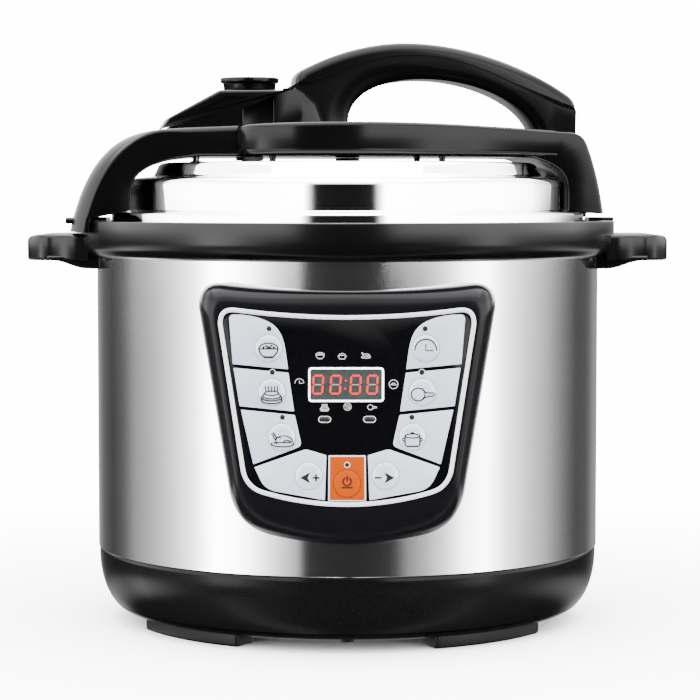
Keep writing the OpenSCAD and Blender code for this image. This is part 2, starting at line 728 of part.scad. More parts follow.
module float_seal() color("ivory") {
    in_lid() translate([float_x, 0, 0]) difference() {
        union() {
            translate([0, 0, 260.9]) cylinder(h = 1.65, r = 5, $fn = 32);
            translate([0, 0, 262]) cylinder(h = 2.8, r = 3.35, $fn = 32);
        }
        translate([0, 0, 255]) cylinder(h = 20, r = 2.3, $fn = 32);
    }
}

outer_shell();
base_housing();
bottom_cover();
foot(0);  // foot_1
foot(1);  // foot_2
foot(2);  // foot_3
foot(3);  // foot_4
collar();
side_handle(180);  // side_handle_left
side_handle(0);  // side_handle_right
cooking_chamber();
heat_shield();
heating_plate();
heating_element();
temperature_sensor();
sensor_spring();
pressure_switch();
thermal_fuse();
power_board();
board_components();
control_board();
display_module();
panel_bezel();
panel_trim_ring();
panel_overlay();
display_window();
key_fields();
cancel_field();
lamp_lenses();
key(0);  // key_1
key(1);  // key_2
key(2);  // key_3
key(3);  // key_4
key(4);  // key_5
key(5);  // key_6
key(6);  // key_7
key(7);  // key_8
key(8);  // key_9
power_inlet();
inlet_pins();
cup_bracket();
condensate_cup();
base_screws();
handle_screws();
inner_pot();
sealing_ring();
inner_lid_plate();
lid_dome();
lid_nut();
lid_beam();
beam_screws();
valve_housing();
grip_body();
grip_cover();
stand_pin();
steam_pipe();
valve_weight();
valve_cap();
float_valve();
float_seal();
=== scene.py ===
"""Looks of an electric pressure cooker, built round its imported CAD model.

Lengths in the helpers are in millimetres, in the part's own frame: the body's axis at the
origin, the front towards -Y, the worktop at z = 0. Meshes are written in metres.
"""
import math

import bmesh
import bpy
import numpy as np
from mathutils import Matrix, Vector


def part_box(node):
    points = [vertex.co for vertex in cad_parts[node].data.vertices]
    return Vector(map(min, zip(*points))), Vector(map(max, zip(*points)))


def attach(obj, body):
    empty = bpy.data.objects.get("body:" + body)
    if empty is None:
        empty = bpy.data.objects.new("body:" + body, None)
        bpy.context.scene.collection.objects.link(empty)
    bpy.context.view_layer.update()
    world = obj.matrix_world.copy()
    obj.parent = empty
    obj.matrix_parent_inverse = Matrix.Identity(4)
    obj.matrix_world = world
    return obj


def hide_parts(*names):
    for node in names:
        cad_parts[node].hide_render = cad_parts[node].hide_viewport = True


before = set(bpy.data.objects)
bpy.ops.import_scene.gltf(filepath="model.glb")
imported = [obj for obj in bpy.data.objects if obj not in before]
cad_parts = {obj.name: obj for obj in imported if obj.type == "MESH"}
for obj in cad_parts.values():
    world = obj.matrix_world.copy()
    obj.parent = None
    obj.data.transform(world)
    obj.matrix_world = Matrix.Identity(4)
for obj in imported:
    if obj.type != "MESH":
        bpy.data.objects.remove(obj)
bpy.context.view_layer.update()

# ---- sizes from the frame
MM = 0.001
SHARP = 35


def span(node, axis):
    """Lowest and highest place of a CAD node along an axis, in millimetres."""
    low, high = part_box(node)
    return low[axis] / MM, high[axis] / MM


SHELL_R = span("outer_shell", 0)[1]
SHELL_LOW, SHELL_TOP = span("outer_shell", 2)
COLLAR_R = span("collar", 0)[1]
FOOT_H = span("foot_1", 2)[1]
BASE_MID = 40
BASE_LOW = 11.3
LID_R = 136.6
LID_TURN = math.radians(7)
LEAN = math.radians(5.4)
PANEL_OUT = 158
PANEL_MID = 135
KEY_R = 7.2
CANCEL = 7
KEYS = [(-41, 30.4), (-39.3, 7.6), (-34, -15.8), (41, 30.4), (39.3, 7.6), (34, -15.8),
        (-20, -36), (0, -40), (20, -36)]
VALVE_X = -56.9
FLOAT_X = -88
DISPLAY_Y = 11.6
BEAM_LOW = 266.8
BEAM_CROWN = 285.7
BEAM_FALL = 0.0003
BEAM_HALF = 45
HUB_HALF = 77
GRIP_HALF = 18

TO_LID = Matrix.Rotation(LID_TURN, 4, "Z")
TO_PANEL = (Matrix.Translation((0, -PANEL_OUT, PANEL_MID))
            @ Matrix.Rotation(math.pi / 2 - LEAN, 4, "X"))
UPRIGHT = Matrix.Rotation(math.pi / 2, 4, "X")
TO_VALVE = Matrix.Translation((VALVE_X, 0, 0))
SAME = Matrix.Identity(4)


# ---- curves
def bez(p, n):
    """n + 1 points along a cubic curve with four control points."""
    out = []
    for i in range(n + 1):
        t = i / n
        s = 1 - t
        w = (s ** 3, 3 * s * s * t, 3 * s * t * t, t ** 3)
        out.append(tuple(sum(w[k] * p[k][c] for k in range(4)) for c in range(2)))
    return out


def chain(start, *parts):
    """Cubic curves end to end; each part is a count of steps, two control points and the
    curve's end."""
    out = [start]
    for n, a, b, end in parts:
        out += bez([out[-1], a, b, end], n)[1:]
    return out


def bend(q, p, s, n):
    """n + 1 points from q to s along a curve that turns at p."""
    return [tuple((1 - t) ** 2 * q + 2 * t * (1 - t) * p + t * t * s)
            for t in (k / n for k in range(n + 1))]


def arc(cx, cy, rx, ry, a0, a1, n=14):
    """n + 1 points round a centre from angle a0 to a1, in degrees."""
    return [(cx + rx * math.cos(math.radians(a0 + (a1 - a0) * i / n)),
             cy + ry * math.sin(math.radians(a0 + (a1 - a0) * i / n))) for i in range(n + 1)]


def rim_arc(r, a0, a1, n):
    """The same round the part's own axis, at one radius."""
    return arc(0, 0, r, r, a0, a1, n)


def resample(points, n):
    """n points spread evenly along a polyline."""
    pts = np.array(points, float)
    run = np.concatenate([[0], np.cumsum(np.linalg.norm(np.diff(pts, axis=0), axis=1))])
    return [tuple(np.interp(at, run, pts[:, c]) for c in range(pts.shape[1]))
            for at in np.linspace(0, run[-1], n)]


def soften(points, r, n=4, closed=True):
    """Rounds the corners of an outline; r is one radius or one for each point."""
    out = []
    count = len(points)
    for i, p in enumerate(points):
        radius = r[i] if isinstance(r, (list, tuple)) else r
        if radius <= 0 or (not closed and i in (0, count - 1)):
            out.append(tuple(p))
            continue
        p = np.array(p, float)
        a = np.array(points[i - 1], float) - p
        b = np.array(points[(i + 1) % count], float) - p
        la, lb = np.linalg.norm(a), np.linalg.norm(b)
        q = p + a / la * min(radius, la * 0.48)
        s = p + b / lb * min(radius, lb * 0.48)
        out += bend(q, p, s, n)
    return out


def box_line(x0, y0, x1, y1):
    """The four corners of a rectangle."""
    return [(x0, y0), (x1, y0), (x1, y1), (x0, y1)]


def shield_runs(wt, zt, wb, zb, dip, bulge, r, r_low=None):
    """Panel outline as six runs of points, corners and edges: a wide top edge at zt that
    dips, a narrower bottom edge at zb that bulges down. wt and wb are half the widths, r
    and r_low how far the corners reach."""
    def bow(a, b, h):
        """Points between a and b on a curve that rises by h in the middle."""
        return [(a[0] + (b[0] - a[0]) * t, a[1] + (b[1] - a[1]) * t + 4 * h * t * (1 - t))
                for t in (i / 24 for i in range(1, 24))]
    tl, tr, br, bl = (-wt, zt), (wt, zt), (wb, zb), (-wb, zb)
    r_low = r_low or r

    def along(w, z, h, d):
        """The place on an edge that lies d inside its right-hand corner."""
        t = d / (2 * w)
        return (w - d, z - 4 * h * t * (1 - t))
    xt, at = along(wt, zt, dip, r)
    xb, ab = along(wb, zb, bulge, r_low)
    top = [p for p in bow(tl, tr, -dip) if abs(p[0]) < wt - r]
    low = [p for p in bow(br, bl, -bulge) if abs(p[0]) < wb - r_low]
    side = zt - r - 5
    corner = []
    for a, p, b, d in (((-wt + 0.5, side), tl, (-xt, at), r),
                       ((xt, at), tr, (wt - 0.5, side), r),
                       ((wt - 0.5, side), br, (xb, ab), r_low),
                       ((-xb, ab), bl, (-wt + 0.5, side), r_low)):
        p, a, b = np.array(p), np.array(a), np.array(b)
        q = p + (a - p) / np.linalg.norm(a - p) * d
        s = p + (b - p) / np.linalg.norm(b - p) * d
        corner.append(bend(q, p, s, 9))
    return [corner[0], top, corner[1], corner[2], low, corner[3]]


def shield(*sizes):
    """The panel outline as one closed line."""
    return [p for run in shield_runs(*sizes) for p in run]


def matched(*sizes):
    """The same outline with a fixed count of points for each corner and edge, so that two
    of them can be joined point by point."""
    tl, top, tr, br, low, bl = shield_runs(*sizes)
    return (tl + resample([tl[-1]] + top + [tr[0]], 42)[1:-1]
            + tr + resample([tr[-1], br[0]], 32)[1:-1]
            + br + resample([br[-1]] + low + [bl[0]], 42)[1:-1]
            + bl + resample([bl[-1], tl[0]], 32)[1:-1])


def face_sizes(out):
    """Sizes of the panel's face in its own frame, grown by out."""
    return 67.7 + out, 53 + out, 53.8 + out, -42.5 - out, 5.2, 9.5, 10


# ---- meshes
def make(name, verts, faces, move=SAME, sharp=SHARP):
    """A mesh object from millimetre points, smooth but for edges past the sharp angle.
    With sharp None it stays faceted, and points at one place stay apart."""
    me = bpy.data.meshes.new(name)
    me.from_pydata([tuple(MM * c for c in (move @ Vector(v))) for v in verts], [], faces)
    bm = bmesh.new()
    bm.from_mesh(me)
    if sharp is not None:
        bmesh.ops.remove_doubles(bm, verts=bm.verts, dist=1e-6)
    bmesh.ops.recalc_face_normals(bm, faces=bm.faces)
    bm.to_mesh(me)
    bm.free()
    if sharp is not None:
        me.shade_smooth()
        me.set_sharp_from_angle(angle=math.radians(sharp))
    ob = bpy.data.objects.new(name, me)
    bpy.context.scene.collection.objects.link(ob)
    return ob


def loft(name, rings, move=SAME, sharp=SHARP, closed=False):
    """Joins rings of equally many points, each to the next. closed joins the last to the
    first; otherwise the first and the last ring are filled."""
    count = len(rings[0])
    size = count * len(rings)
    faces = []
    for a in range(0, size if closed else size - count, count):
        b = (a + count) % size
        for i in range(count):
            j = (i + 1) % count
            faces.append((a + i, a + j, b + j, b + i))
    if not closed:
        faces.append(tuple(range(count - 1, -1, -1)))
        faces.append(tuple(range(size - count, size)))
    return make(name, [v for ring in rings for v in ring], faces, move, sharp)


def lathe(name, profile, steps=192, move=SAME, sharp=SHARP):
    """Turns a closed outline of (radius, height) points about the vertical axis."""
    verts, faces, rings = [], [], []
    for r, z in profile:
        if r < 1e-4:
            rings.append([len(verts)] * steps)
            verts.append((0, 0, z))
            continue
        rings.append(list(range(len(verts), len(verts) + steps)))
        verts += [(r * math.cos(a), r * math.sin(a), z)
                  for a in (2 * math.pi * i / steps for i in range(steps))]
    for a, b in zip(rings, rings[1:] + rings[:1]):
        for i in range(steps):
            j = (i + 1) % steps
            face = []
            for v in (a[i], a[j], b[j], b[i]):
                if v not in face:
                    face.append(v)
            if len(face) > 2:
                faces.append(face)
    return make(name, verts, faces, move, sharp)


def inset_line(points, dist):
    """Moves a closed outline inwards, by one distance or by one for each point."""
    pts = np.array(points, float)
    nxt, prv = np.roll(pts, -1, 0), np.roll(pts, 1, 0)
    area = np.sum(pts[:, 0] * nxt[:, 1] - nxt[:, 0] * pts[:, 1])
    turn = 1 if area > 0 else -1
    e1, e2 = pts - prv, nxt - pts
    n1 = np.stack([-e1[:, 1], e1[:, 0]], 1) * turn
    n2 = np.stack([-e2[:, 1], e2[:, 0]], 1) * turn
    n1 /= np.maximum(np.linalg.norm(n1, axis=1, keepdims=True), 1e-9)
    n2 /= np.maximum(np.linalg.norm(n2, axis=1, keepdims=True), 1e-9)
    n = n1 + n2
    length = np.linalg.norm(n, axis=1, keepdims=True)
    n /= np.maximum(length, 1e-9)
    grow = 1 / np.maximum(length / 2, 0.6)
    return pts + n * grow * np.array(dist, float).reshape(-1, 1)


def stacked(outline, rows, factor=1.0):
    """A closed outline at each row's height, moved inwards by the row's distance."""
    rings = []
    for z, d in rows:
        ring = inset_line(outline, d * factor) if d > 1e-6 else outline
        rings.append([(p[0], p[1], z) for p in ring])
    return rings


def slab(name, outline, low, high, edge=1.0, edge_low=None, move=SAME, n=4, inset=None,
         sharp=SHARP):
    """An outline pulled up from low to high, its rims rounded. inset widens the rounding
    point by point, as a factor for each point of the outline."""
    edge_low = edge if edge_low is None else edge_low
    factor = np.ones(len(outline)) if inset is None else np.array(inset, float)
    low_rows = [(low + edge_low - edge_low * math.cos(t), edge_low - edge_low * math.sin(t))
                for t in (math.pi / 2 * k / n for k in range(n + 1))]
    high_rows = [(high - edge + edge * math.sin(t), edge - edge * math.cos(t))
                 for t in (math.pi / 2 * k / n for k in range(n + 1))]
    return loft(name, stacked(outline, low_rows + high_rows, factor), move, sharp)


def block(name, low, high, edge):
    """A box with rounded corners between two opposite ones, used as a cutter."""
    outline = soften(box_line(low[0], low[1], high[0], high[1]), edge * 1.5, 3)
    return slab(name, outline, low[2], high[2], edge, n=2)


def combine(ob, other, how="DIFFERENCE"):
    """Boolean of two closed meshes, baked into the first; the second one is used up."""
    mod = ob.modifiers.new("cut", "BOOLEAN")
    mod.operation = how
    mod.solver = "EXACT"
    mod.object = other
    dg = bpy.context.evaluated_depsgraph_get()
    ob.data = bpy.data.meshes.new_from_object(ob.evaluated_get(dg))
    ob.modifiers.clear()
    ob.data.shade_smooth()
    ob.data.set_sharp_from_angle(angle=math.radians(SHARP))
    bpy.data.objects.remove(other)
    return ob


def strokes(name, lines, width, height, at, move, lift=0.0):
    """Printed or raised line art: flat ribbons with a little thickness. lines are lists
    of points about the place at, in the frame that move leads out of."""
    verts, faces = [], []
    for line in lines:
        pts = [np.array(p, float) + np.array(at) for p in line]
        shut = len(pts) > 3 and np.linalg.norm(pts[0] - pts[-1]) < 1e-6
        base = len(verts)
        for i, p in enumerate(pts):
            a = pts[i - 1] if i else (pts[-2] if shut else p)
            b = pts[i + 1] if i < len(pts) - 1 else (pts[1] if shut else p)
            d = b - a
            d = d / max(np.linalg.norm(d), 1e-9)
            n = np.array((-d[1], d[0])) * width / 2
            grow = 0.0 if shut or 0 < i < len(pts) - 1 else width * 0.3
            q = p + (d * grow if i else -d * grow)
            for side, z in ((1, 0), (1, 1), (-1, 1), (-1, 0)):
                verts.append((q[0] + n[0] * side, q[1] + n[1] * side, lift + z * height))
        for i in range(len(pts) - 1):
            a, b = base + 4 * i, base + 4 * (i + 1)
            for k in range(4):
                j = (k + 1) % 4
                faces.append((a + k, a + j, b + j, b + k))
        faces.append((base + 3, base + 2, base + 1, base))
        end = base + 4 * (len(pts) - 1)
        faces.append((end, end + 1, end + 2, end + 3))
    return make(name, verts, faces, move, sharp=None)


# ---- materials
def add(nt, kind, inputs, **settings):
    """A shader node. Its settings are made first; then each input, by its name or number,
    is linked where a socket is given and set where a value is."""
    node = nt.nodes.new("ShaderNode" + kind)
    for key, value in settings.items():
        setattr(node, key, value)
    for key, value in inputs.items():
        if isinstance(value, bpy.types.NodeSocket):
            nt.links.new(value, node.inputs[key])
        else:
            node.inputs[key].default_value = value
    return node


def plain_material(name):
    """A new material with its node tree and principled shader."""
    mat = bpy.data.materials.new(name)
    mat.use_nodes = True
    return mat, mat.node_tree, mat.node_tree.nodes["Principled BSDF"]


def material(name, color, rough, metal=0.0, grain=0.0, grain_size=600, speck=0.0,
             brushed=(1, 1, 1), coat=0.0, spec=0.5, alpha=1.0, glow=None, wear=0.0,
             transmission=0.0):
    """A principled material whose colour, roughness and bump vary from nodes.
    grain is the bump's height in millimetres, brushed the stretch of drawn lines."""
    mat, nt, bsdf = plain_material(name)
    fixed = {"Metallic": metal, "Specular IOR Level": spec, "Coat Weight": coat,
             "Coat Roughness": 0.04, "Alpha": alpha, "Transmission Weight": transmission}
    if glow:
        fixed["Emission Color"] = (*glow[0], 1)
        fixed["Emission Strength"] = glow[1]
    for key, value in fixed.items():
        bsdf.inputs[key].default_value = value

    def spread(source, low, high):
        """Passes from low to high over the middle of a noise's values."""
        return add(nt, "MapRange", {"From Min": 0.3, "From Max": 0.7, "To Min": low,
                                    "To Max": high, "Value": source}).outputs["Result"]

    at = add(nt, "TexCoord", {}).outputs["Object"]
    drawn = add(nt, "Mapping", {"Scale": brushed, "Vector": at}).outputs["Vector"]
    fine = add(nt, "TexNoise", {"Scale": grain_size, "Detail": 4,
                                "Vector": drawn}).outputs["Fac"]
    broad = add(nt, "TexNoise", {"Scale": 14, "Detail": 3, "Vector": at}).outputs["Fac"]
    out = add(nt, "VectorMath", {0: color, "Scale": spread(fine, 1 - speck, 1 + speck)},
              operation="SCALE").outputs["Vector"]
    if wear:
        edges = add(nt, "NewGeometry", {}).outputs["Pointiness"]
        worn = add(nt, "MapRange", {"From Min": 0.5, "From Max": 0.58, "To Max": wear,
                                    "Value": edges}).outputs["Result"]
        paler = (*[min(1, c * 2.2 + 0.03) for c in color], 1)
        out = add(nt, "Mix", {"B": paler, "Factor": worn, "A": out},
                  data_type="RGBA").outputs["Result"]
    nt.links.new(out, bsdf.inputs["Base Color"])
    nt.links.new(spread(broad, rough * 0.88, rough * 1.14), bsdf.inputs["Roughness"])
    if grain:
        bump = add(nt, "Bump", {"Strength": 1, "Distance": grain * MM, "Height": fine})
        nt.links.new(bump.outputs["Normal"], bsdf.inputs["Normal"])
    return mat


STEEL = material("shell_steel", (0.72, 0.725, 0.73), 0.1, metal=1, grain=0.003, grain_size=30,
                 brushed=(1.2, 1.2, 160), speck=0.04)
MIRROR = material("lid_steel", (0.93, 0.93, 0.93), 0.06, metal=1, grain=0.0008, grain_size=40,
                  brushed=(1, 1, 60), speck=0.015)
GLOSS = material("base_black", (0.0013, 0.0013, 0.0014), 0.16, grain=0.002, grain_size=900,
                 speck=0.2, spec=0.045)
BEZEL = material("bezel_black", (0.0014, 0.0014, 0.0018), 0.2, grain=0.002, grain_size=900,
                 speck=0.2, spec=0.07)
SATIN = material("collar_black", (0.0008, 0.0008, 0.0009), 0.2, grain=0.004, grain_size=1400,
                 speck=0.25, spec=0.11, wear=0.03)
BEAM = material("beam_black", (0.0008, 0.0008, 0.0009), 0.15, grain=0.003, grain_size=1500,
                speck=0.25, spec=0.07)
FOOT = material("foot_black", (0.0014, 0.0014, 0.0014), 0.4, grain=0.015, grain_size=900,
                speck=0.3, spec=0.08)
TRIM = material("trim_silver", (0.33, 0.33, 0.34), 0.3, metal=0.2, grain=0.001, speck=0.03)
FIELD = material("field_silver", (0.2, 0.228, 0.265), 0.34, metal=0.1, grain=0.002,
                 grain_size=3000, speck=0.05)
KEY = material("key_silver", (0.215, 0.24, 0.275), 0.26, metal=0.1, grain=0.001,
               grain_size=3000, speck=0.04, coat=0.3)
ORANGE = material("field_orange", (0.13, 0.0178, 0.00005), 0.35, grain=0.001, grain_size=3000,
                  speck=0.06, spec=0.02)
ORANGE_KEY = material("key_orange", (0.135, 0.0185, 0.00005), 0.25, grain=0.001,
                      grain_size=3000, speck=0.05, spec=0.03)
OVERLAY = material("overlay_black", (0.0008, 0.0008, 0.001), 0.1, grain=0.0005, speck=0.2,
                   spec=0.06)
WINDOW = material("window_dark", (0.012, 0.016, 0.016), 0.2, grain=0.0005, grain_size=500,
                  speck=0.25, spec=0.2)
INK = material("ink_black", (0.002, 0.002, 0.003), 0.5, speck=0.3, spec=0.1)
WHITE_INK = material("ink_white", (0.2, 0.2, 0.2), 0.5, speck=0.08, spec=0.1)
FRAME_WHITE = material("window_frame", (0.8, 0.8, 0.8), 0.4, speck=0.04)
LED_ON = material("segment_lit", (0.2, 0.004, 0.002), 0.4, speck=0.1, spec=0.1,
                  glow=((1.0, 0.012, 0.003), 0.9))
LED_OFF = material("segment_unlit", (0.1, 0.095, 0.09), 0.4, speck=0.1, spec=0.1)
LENS = material("lamp_lens", (0.004, 0.004, 0.004), 0.25, speck=0.1, spec=0.3)
CUP = material("cup_clear", (0.86, 0.9, 0.92), 0.08, grain=0.003, grain_size=300, speck=0.03,
               transmission=0.85, alpha=0.55)
CHAMBER = material("chamber_steel", (0.62, 0.62, 0.62), 0.3, metal=1, grain=0.004,
                   grain_size=30, brushed=(1, 1, 120), speck=0.06)
POT = material("pot_steel", (0.78, 0.78, 0.78), 0.22, metal=1, grain=0.004, grain_size=30,
               brushed=(1, 1, 140), speck=0.05)
CAST = material("cast_aluminium", (0.55, 0.55, 0.55), 0.45, metal=1, grain=0.03,
                grain_size=700, speck=0.1)
DARK_STEEL = material("dark_steel", (0.2, 0.195, 0.19), 0.4, metal=1, grain=0.01, speck=0.15)
ZINC = material("zinc_screw", (0.6, 0.6, 0.58), 0.3, metal=1, grain=0.004, speck=0.1)
SILICONE = material("silicone", (0.72, 0.71, 0.68), 0.5, grain=0.01, grain_size=500,
                    speck=0.05)
BOARD = material("solder_mask", (0.02, 0.16, 0.06), 0.35, grain=0.01, grain_size=250,
                 speck=0.2, coat=0.2)
PARTS = material("components", (0.35, 0.24, 0.06), 0.45, grain=0.01, speck=0.3)
CERAMIC = material("ceramic", (0.8, 0.78, 0.72), 0.4, grain=0.01, speck=0.05)
BRASS = material("plated_brass", (0.7, 0.66, 0.52), 0.25, metal=1, grain=0.002, speck=0.05)


def place(ob, body, mat, replaces=()):
    """Gives a piece its body, material and the CAD nodes that it stands for."""
    ob.data.materials.clear()
    ob.data.materials.append(mat)
    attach(ob, body)
    if replaces:
        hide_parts(*replaces)
    return ob


def dress(node, mat):
    """A better material on a CAD node whose shape is right."""
    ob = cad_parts[node]
    if not ob.material_slots:
        ob.data.materials.append(mat)
    for s in ob.material_slots:
        s.link = "OBJECT"
        s.material = mat


# ---- body
def base_r(z, t=0.0):
    """Radius of the base's rounded side at a height, t inside its outer face."""
    mid_r = 127.6
    wide, tall = SHELL_R - 0.6 - mid_r, BASE_MID - FOOT_H + 0.1
    return mid_r + (wide - t) * math.sqrt(max(0, 1 - ((BASE_MID - z) / (tall - t)) ** 2))


def build_shell():
    """The brushed sleeve between base and collar."""
    r, t = SHELL_R, 0.8
    profile = [(r - t, SHELL_LOW), (r - 0.25, SHELL_LOW), (r, SHELL_LOW + 0.3),
               (r, SHELL_TOP), (r - t, SHELL_TOP)]
    place(lathe("shell_skin", profile, 256), "housing", STEEL,
          ["outer_shell"])


def build_base():
    """The base, rounded in below, with a lip under the sleeve and a hole for the mains
    inlet at the rear."""
    rise = BASE_MID - BASE_LOW
    outer = [(base_r(z), z) for z in
             (BASE_LOW + rise * math.sin(math.pi / 2 * i / 14) for i in range(15))]
    inner = [(base_r(z, 3), z) for z in
             (BASE_MID - (rise - 2.4) * i / 8 for i in range(9))]
    lip = [(144.4, 42.4), (144.1, 42.9), (143.6, 42.9), (143.6, 50), (141.4, 50)]
    floor = [(118, BASE_LOW + 2.2), (118, BASE_LOW)]
    ob = lathe("base_skin", outer + lip + inner + floor, 224)
    face, mid = 139.5, 26
    combine(ob, block("cut_a", (-16.5, face - 6, mid - 12.5), (16.5, face + 14, mid + 12.5),
                      0.8))
    combine(ob, block("cut_b", (-14.6, 100, mid - 10.6), (14.6, 150, mid + 10.6), 0.2))
    place(ob, "housing", GLOSS, ["base_housing"])


def build_collar():
    """The collar ring, and the low lands on its top above the two handles."""
    top = 230.6
    outline = [(SHELL_R + 0.6, 209.9), (150.6, 211.4), (153.4, 214.4), (COLLAR_R, 218.8),
               (COLLAR_R, top), (139, top), (139, 215), (130.2, 215), (130.2, 212.8),
               (141.4, 212.8), (141.4, top - 3), (151.2, top - 3), (151.2, 219),
               (149.8, 215.8), (SHELL_R + 0.6, 213)]
    rounds = [0.4, 1.5, 1.5, 2.0, 1.0, 0.6, 0.8, 0.4, 0.4, 0.4, 0.5, 0.5, 0.5, 0.5, 0.4]
    place(lathe("collar_ring", soften(outline, rounds, 4), 224), "housing", SATIN,
          ["collar"])
    line = rim_arc(COLLAR_R - 0.4, -4.6, 4.6, 24) + rim_arc(139.6, 5.1, -5.1, 24)
    for side, name in ((0, "right"), (math.pi, "left")):
        ob = slab("collar_land_" + name, line, top - 0.6, top + 1.8, 0.7, 0.1,
                  move=Matrix.Rotation(side, 4, "Z"), n=3)
        place(ob, "housing", SATIN)


def build_side_handle(name, node, angle):
    """A flat ear that grows out of the collar, hollow under its tip, with a flared root."""
    half, end, root = 34, 183.5, 147
    low, high = 208, 223
    wide = half + 4
    outline = soften([(root, -wide), (157, -wide), (165, -half), (end - 9, -half + 0.6),
                      (end, -half + 9), (end, half - 9), (end - 9, half - 0.6), (165, half),
                      (157, wide), (root, wide)], [0, 5, 6, 5, 5, 5, 5, 6, 5, 0], 7)
    ob = slab(name, outline, low, high, 2.6, 1.6, n=5)
    for v in ob.data.vertices:
        fall = max(0, v.co.x / MM - 172) / 11.5
        if v.co.z > (low + high) / 2 * MM:
            v.co.z -= 1.6 * fall * fall * MM
    shape = soften([(140.4, 203.3), (149.5, 203.3), (155, 204.6), (163, 207.6),
                    (171, 208.4), (171, 211), (140.4, 211)], [0, 3, 5, 4, 0, 0, 0], 5)
    flare = slab(name + "_root", shape, -half - 2, half + 2, 1.6, move=UPRIGHT)
    for piece in (ob, flare):
        combine(piece, block("recess", (161, -half + 7, 200), (end - 4, half - 7, 217.6), 2.4))
        piece.data.transform(Matrix.Rotation(angle, 4, "Z"))
    place(ob, "housing", SATIN, [node])
    place(flare, "housing", SATIN)


def build_feet():
    """Four curved pads under the base."""
    far, near, half = 127, 108, 18
    rounds = [2.5 if k in (0, 20, 21, 41) else 0 for k in range(42)]
    for i, mid in enumerate((46, 134, 224, 310)):
        outline = (rim_arc(far, mid - half, mid + half, 20)
                   + rim_arc(near, mid + half, mid - half, 20))
        ob = slab(f"foot_pad_{i + 1}", soften(outline, rounds), 0, FOOT_H, 0.2, 1.6)
        place(ob, "housing", FOOT, [f"foot_{i + 1}"])


# ---- control panel
def even(points, n):
    """The same closed outline on n points, from its first point round."""
    return resample(list(points) + [points[0]], n + 1)[:-1]


def build_bezel():
    """A shell-hugging rim that rises through a rounded shoulder to a flat face."""
    foot = matched(79.3, 200, 59.5, 70.4, 5, 9.3, 15, 18)
    face = matched(*face_sizes(0.9))
    r = SHELL_R + 0.15
    normal = (TO_PANEL.to_3x3() @ Vector((0, 0, 1))).normalized()
    low = [Vector((x, -math.sqrt(r * r - x * x), z)) for x, z in foot]
    high = [TO_PANEL @ Vector((u, v, -0.15)) for u, v in face]
    n, power = 16, 2 / 2.6
    rows = []
    for k in range(n + 1):
        a = math.pi / 2 * k / n
        out, up = math.cos(a) ** power, math.sin(a) ** power
        ring = []
        for p, q in zip(low, high):
            step = p - q
            depth = -step.dot(normal)
            ring.append(q + (step + normal * depth) * out - normal * depth * (1 - up))
        rows.append(ring)
    for inset, w in ((0.75, -0.15), (0.85, -0.3), (0.85, -2.4), (6, -2.4)):
        rows.append([TO_PANEL @ Vector((p[0], p[1], w)) for p in inset_line(face, inset)])
    rows.append([Vector((p.x * 0.92, -math.sqrt(r * r - (p.x * 0.92) ** 2),
                         PANEL_MID + (p.z - PANEL_MID) * 0.92)) for p in low])
    place(loft("bezel_frame", rows, sharp=40, closed=True), "housing", BEZEL,
          ["panel_bezel"])


def build_trim():
    """The silver line round the panel's face."""
    rows = [(-1.2, 0), (0.5, 0), (0.85, 0.25), (1.0, 0.7), (1.0, 1.6), (0.85, 2.05),
            (0.5, 2.3), (-1.2, 2.3)]
    rings = stacked(even(shield(*face_sizes(0)), 240), rows)
    place(loft("trim_band", rings, TO_PANEL, closed=True), "housing", TRIM,
          ["panel_trim_ring"])


def round_hole(ob, at, r, low, high):
    """Drills a hole square to the panel."""
    outline = arc(at[0], at[1], r, r, 0, 360, 48)[:-1]
    return combine(ob, slab("hole", outline, low, high, 0.01, move=TO_PANEL, n=1))


def build_overlay():
    """The black sheet on the panel's face, with a hole for each key."""
    ob = slab("overlay_sheet", even(shield(*face_sizes(-2.5)), 160), -2.4, 0, 0.15,
              move=TO_PANEL, n=2)
    for at in KEYS:
        round_hole(ob, at, KEY_R + 0.3, -4, 3)
    place(ob, "housing", OVERLAY, ["panel_overlay"])


# Outline and corner sizes of each silver field on the panel's left half.
FIELDS = [
    ([(-61.8, 48.4), (-50, 47.8), (-38.5, 43.8), (-33, 36), (-30.8, 19.6), (-59.6, 22.3)],
     [3.2, 8, 8, 9, 0.5, 0.5]),
    ([(-59.2, 20.4), (-30.6, 17.8), (-27.6, -2.4), (-56, 0.4)], [0.5] * 4),
    ([(-55.4, -1.4), (-27.3, -4.2), (-23.6, -20.4), (-48.8, -29.9)],
     [0.5, 0.5, 2.5, 0.5]),
    ([(-48.3, -31.4), (-21.5, -22), (-10.8, -25.2), (-11.6, -48.6), (-42.9, -43)],
     [0.5, 1.5, 0.5, 0.5, 6])]


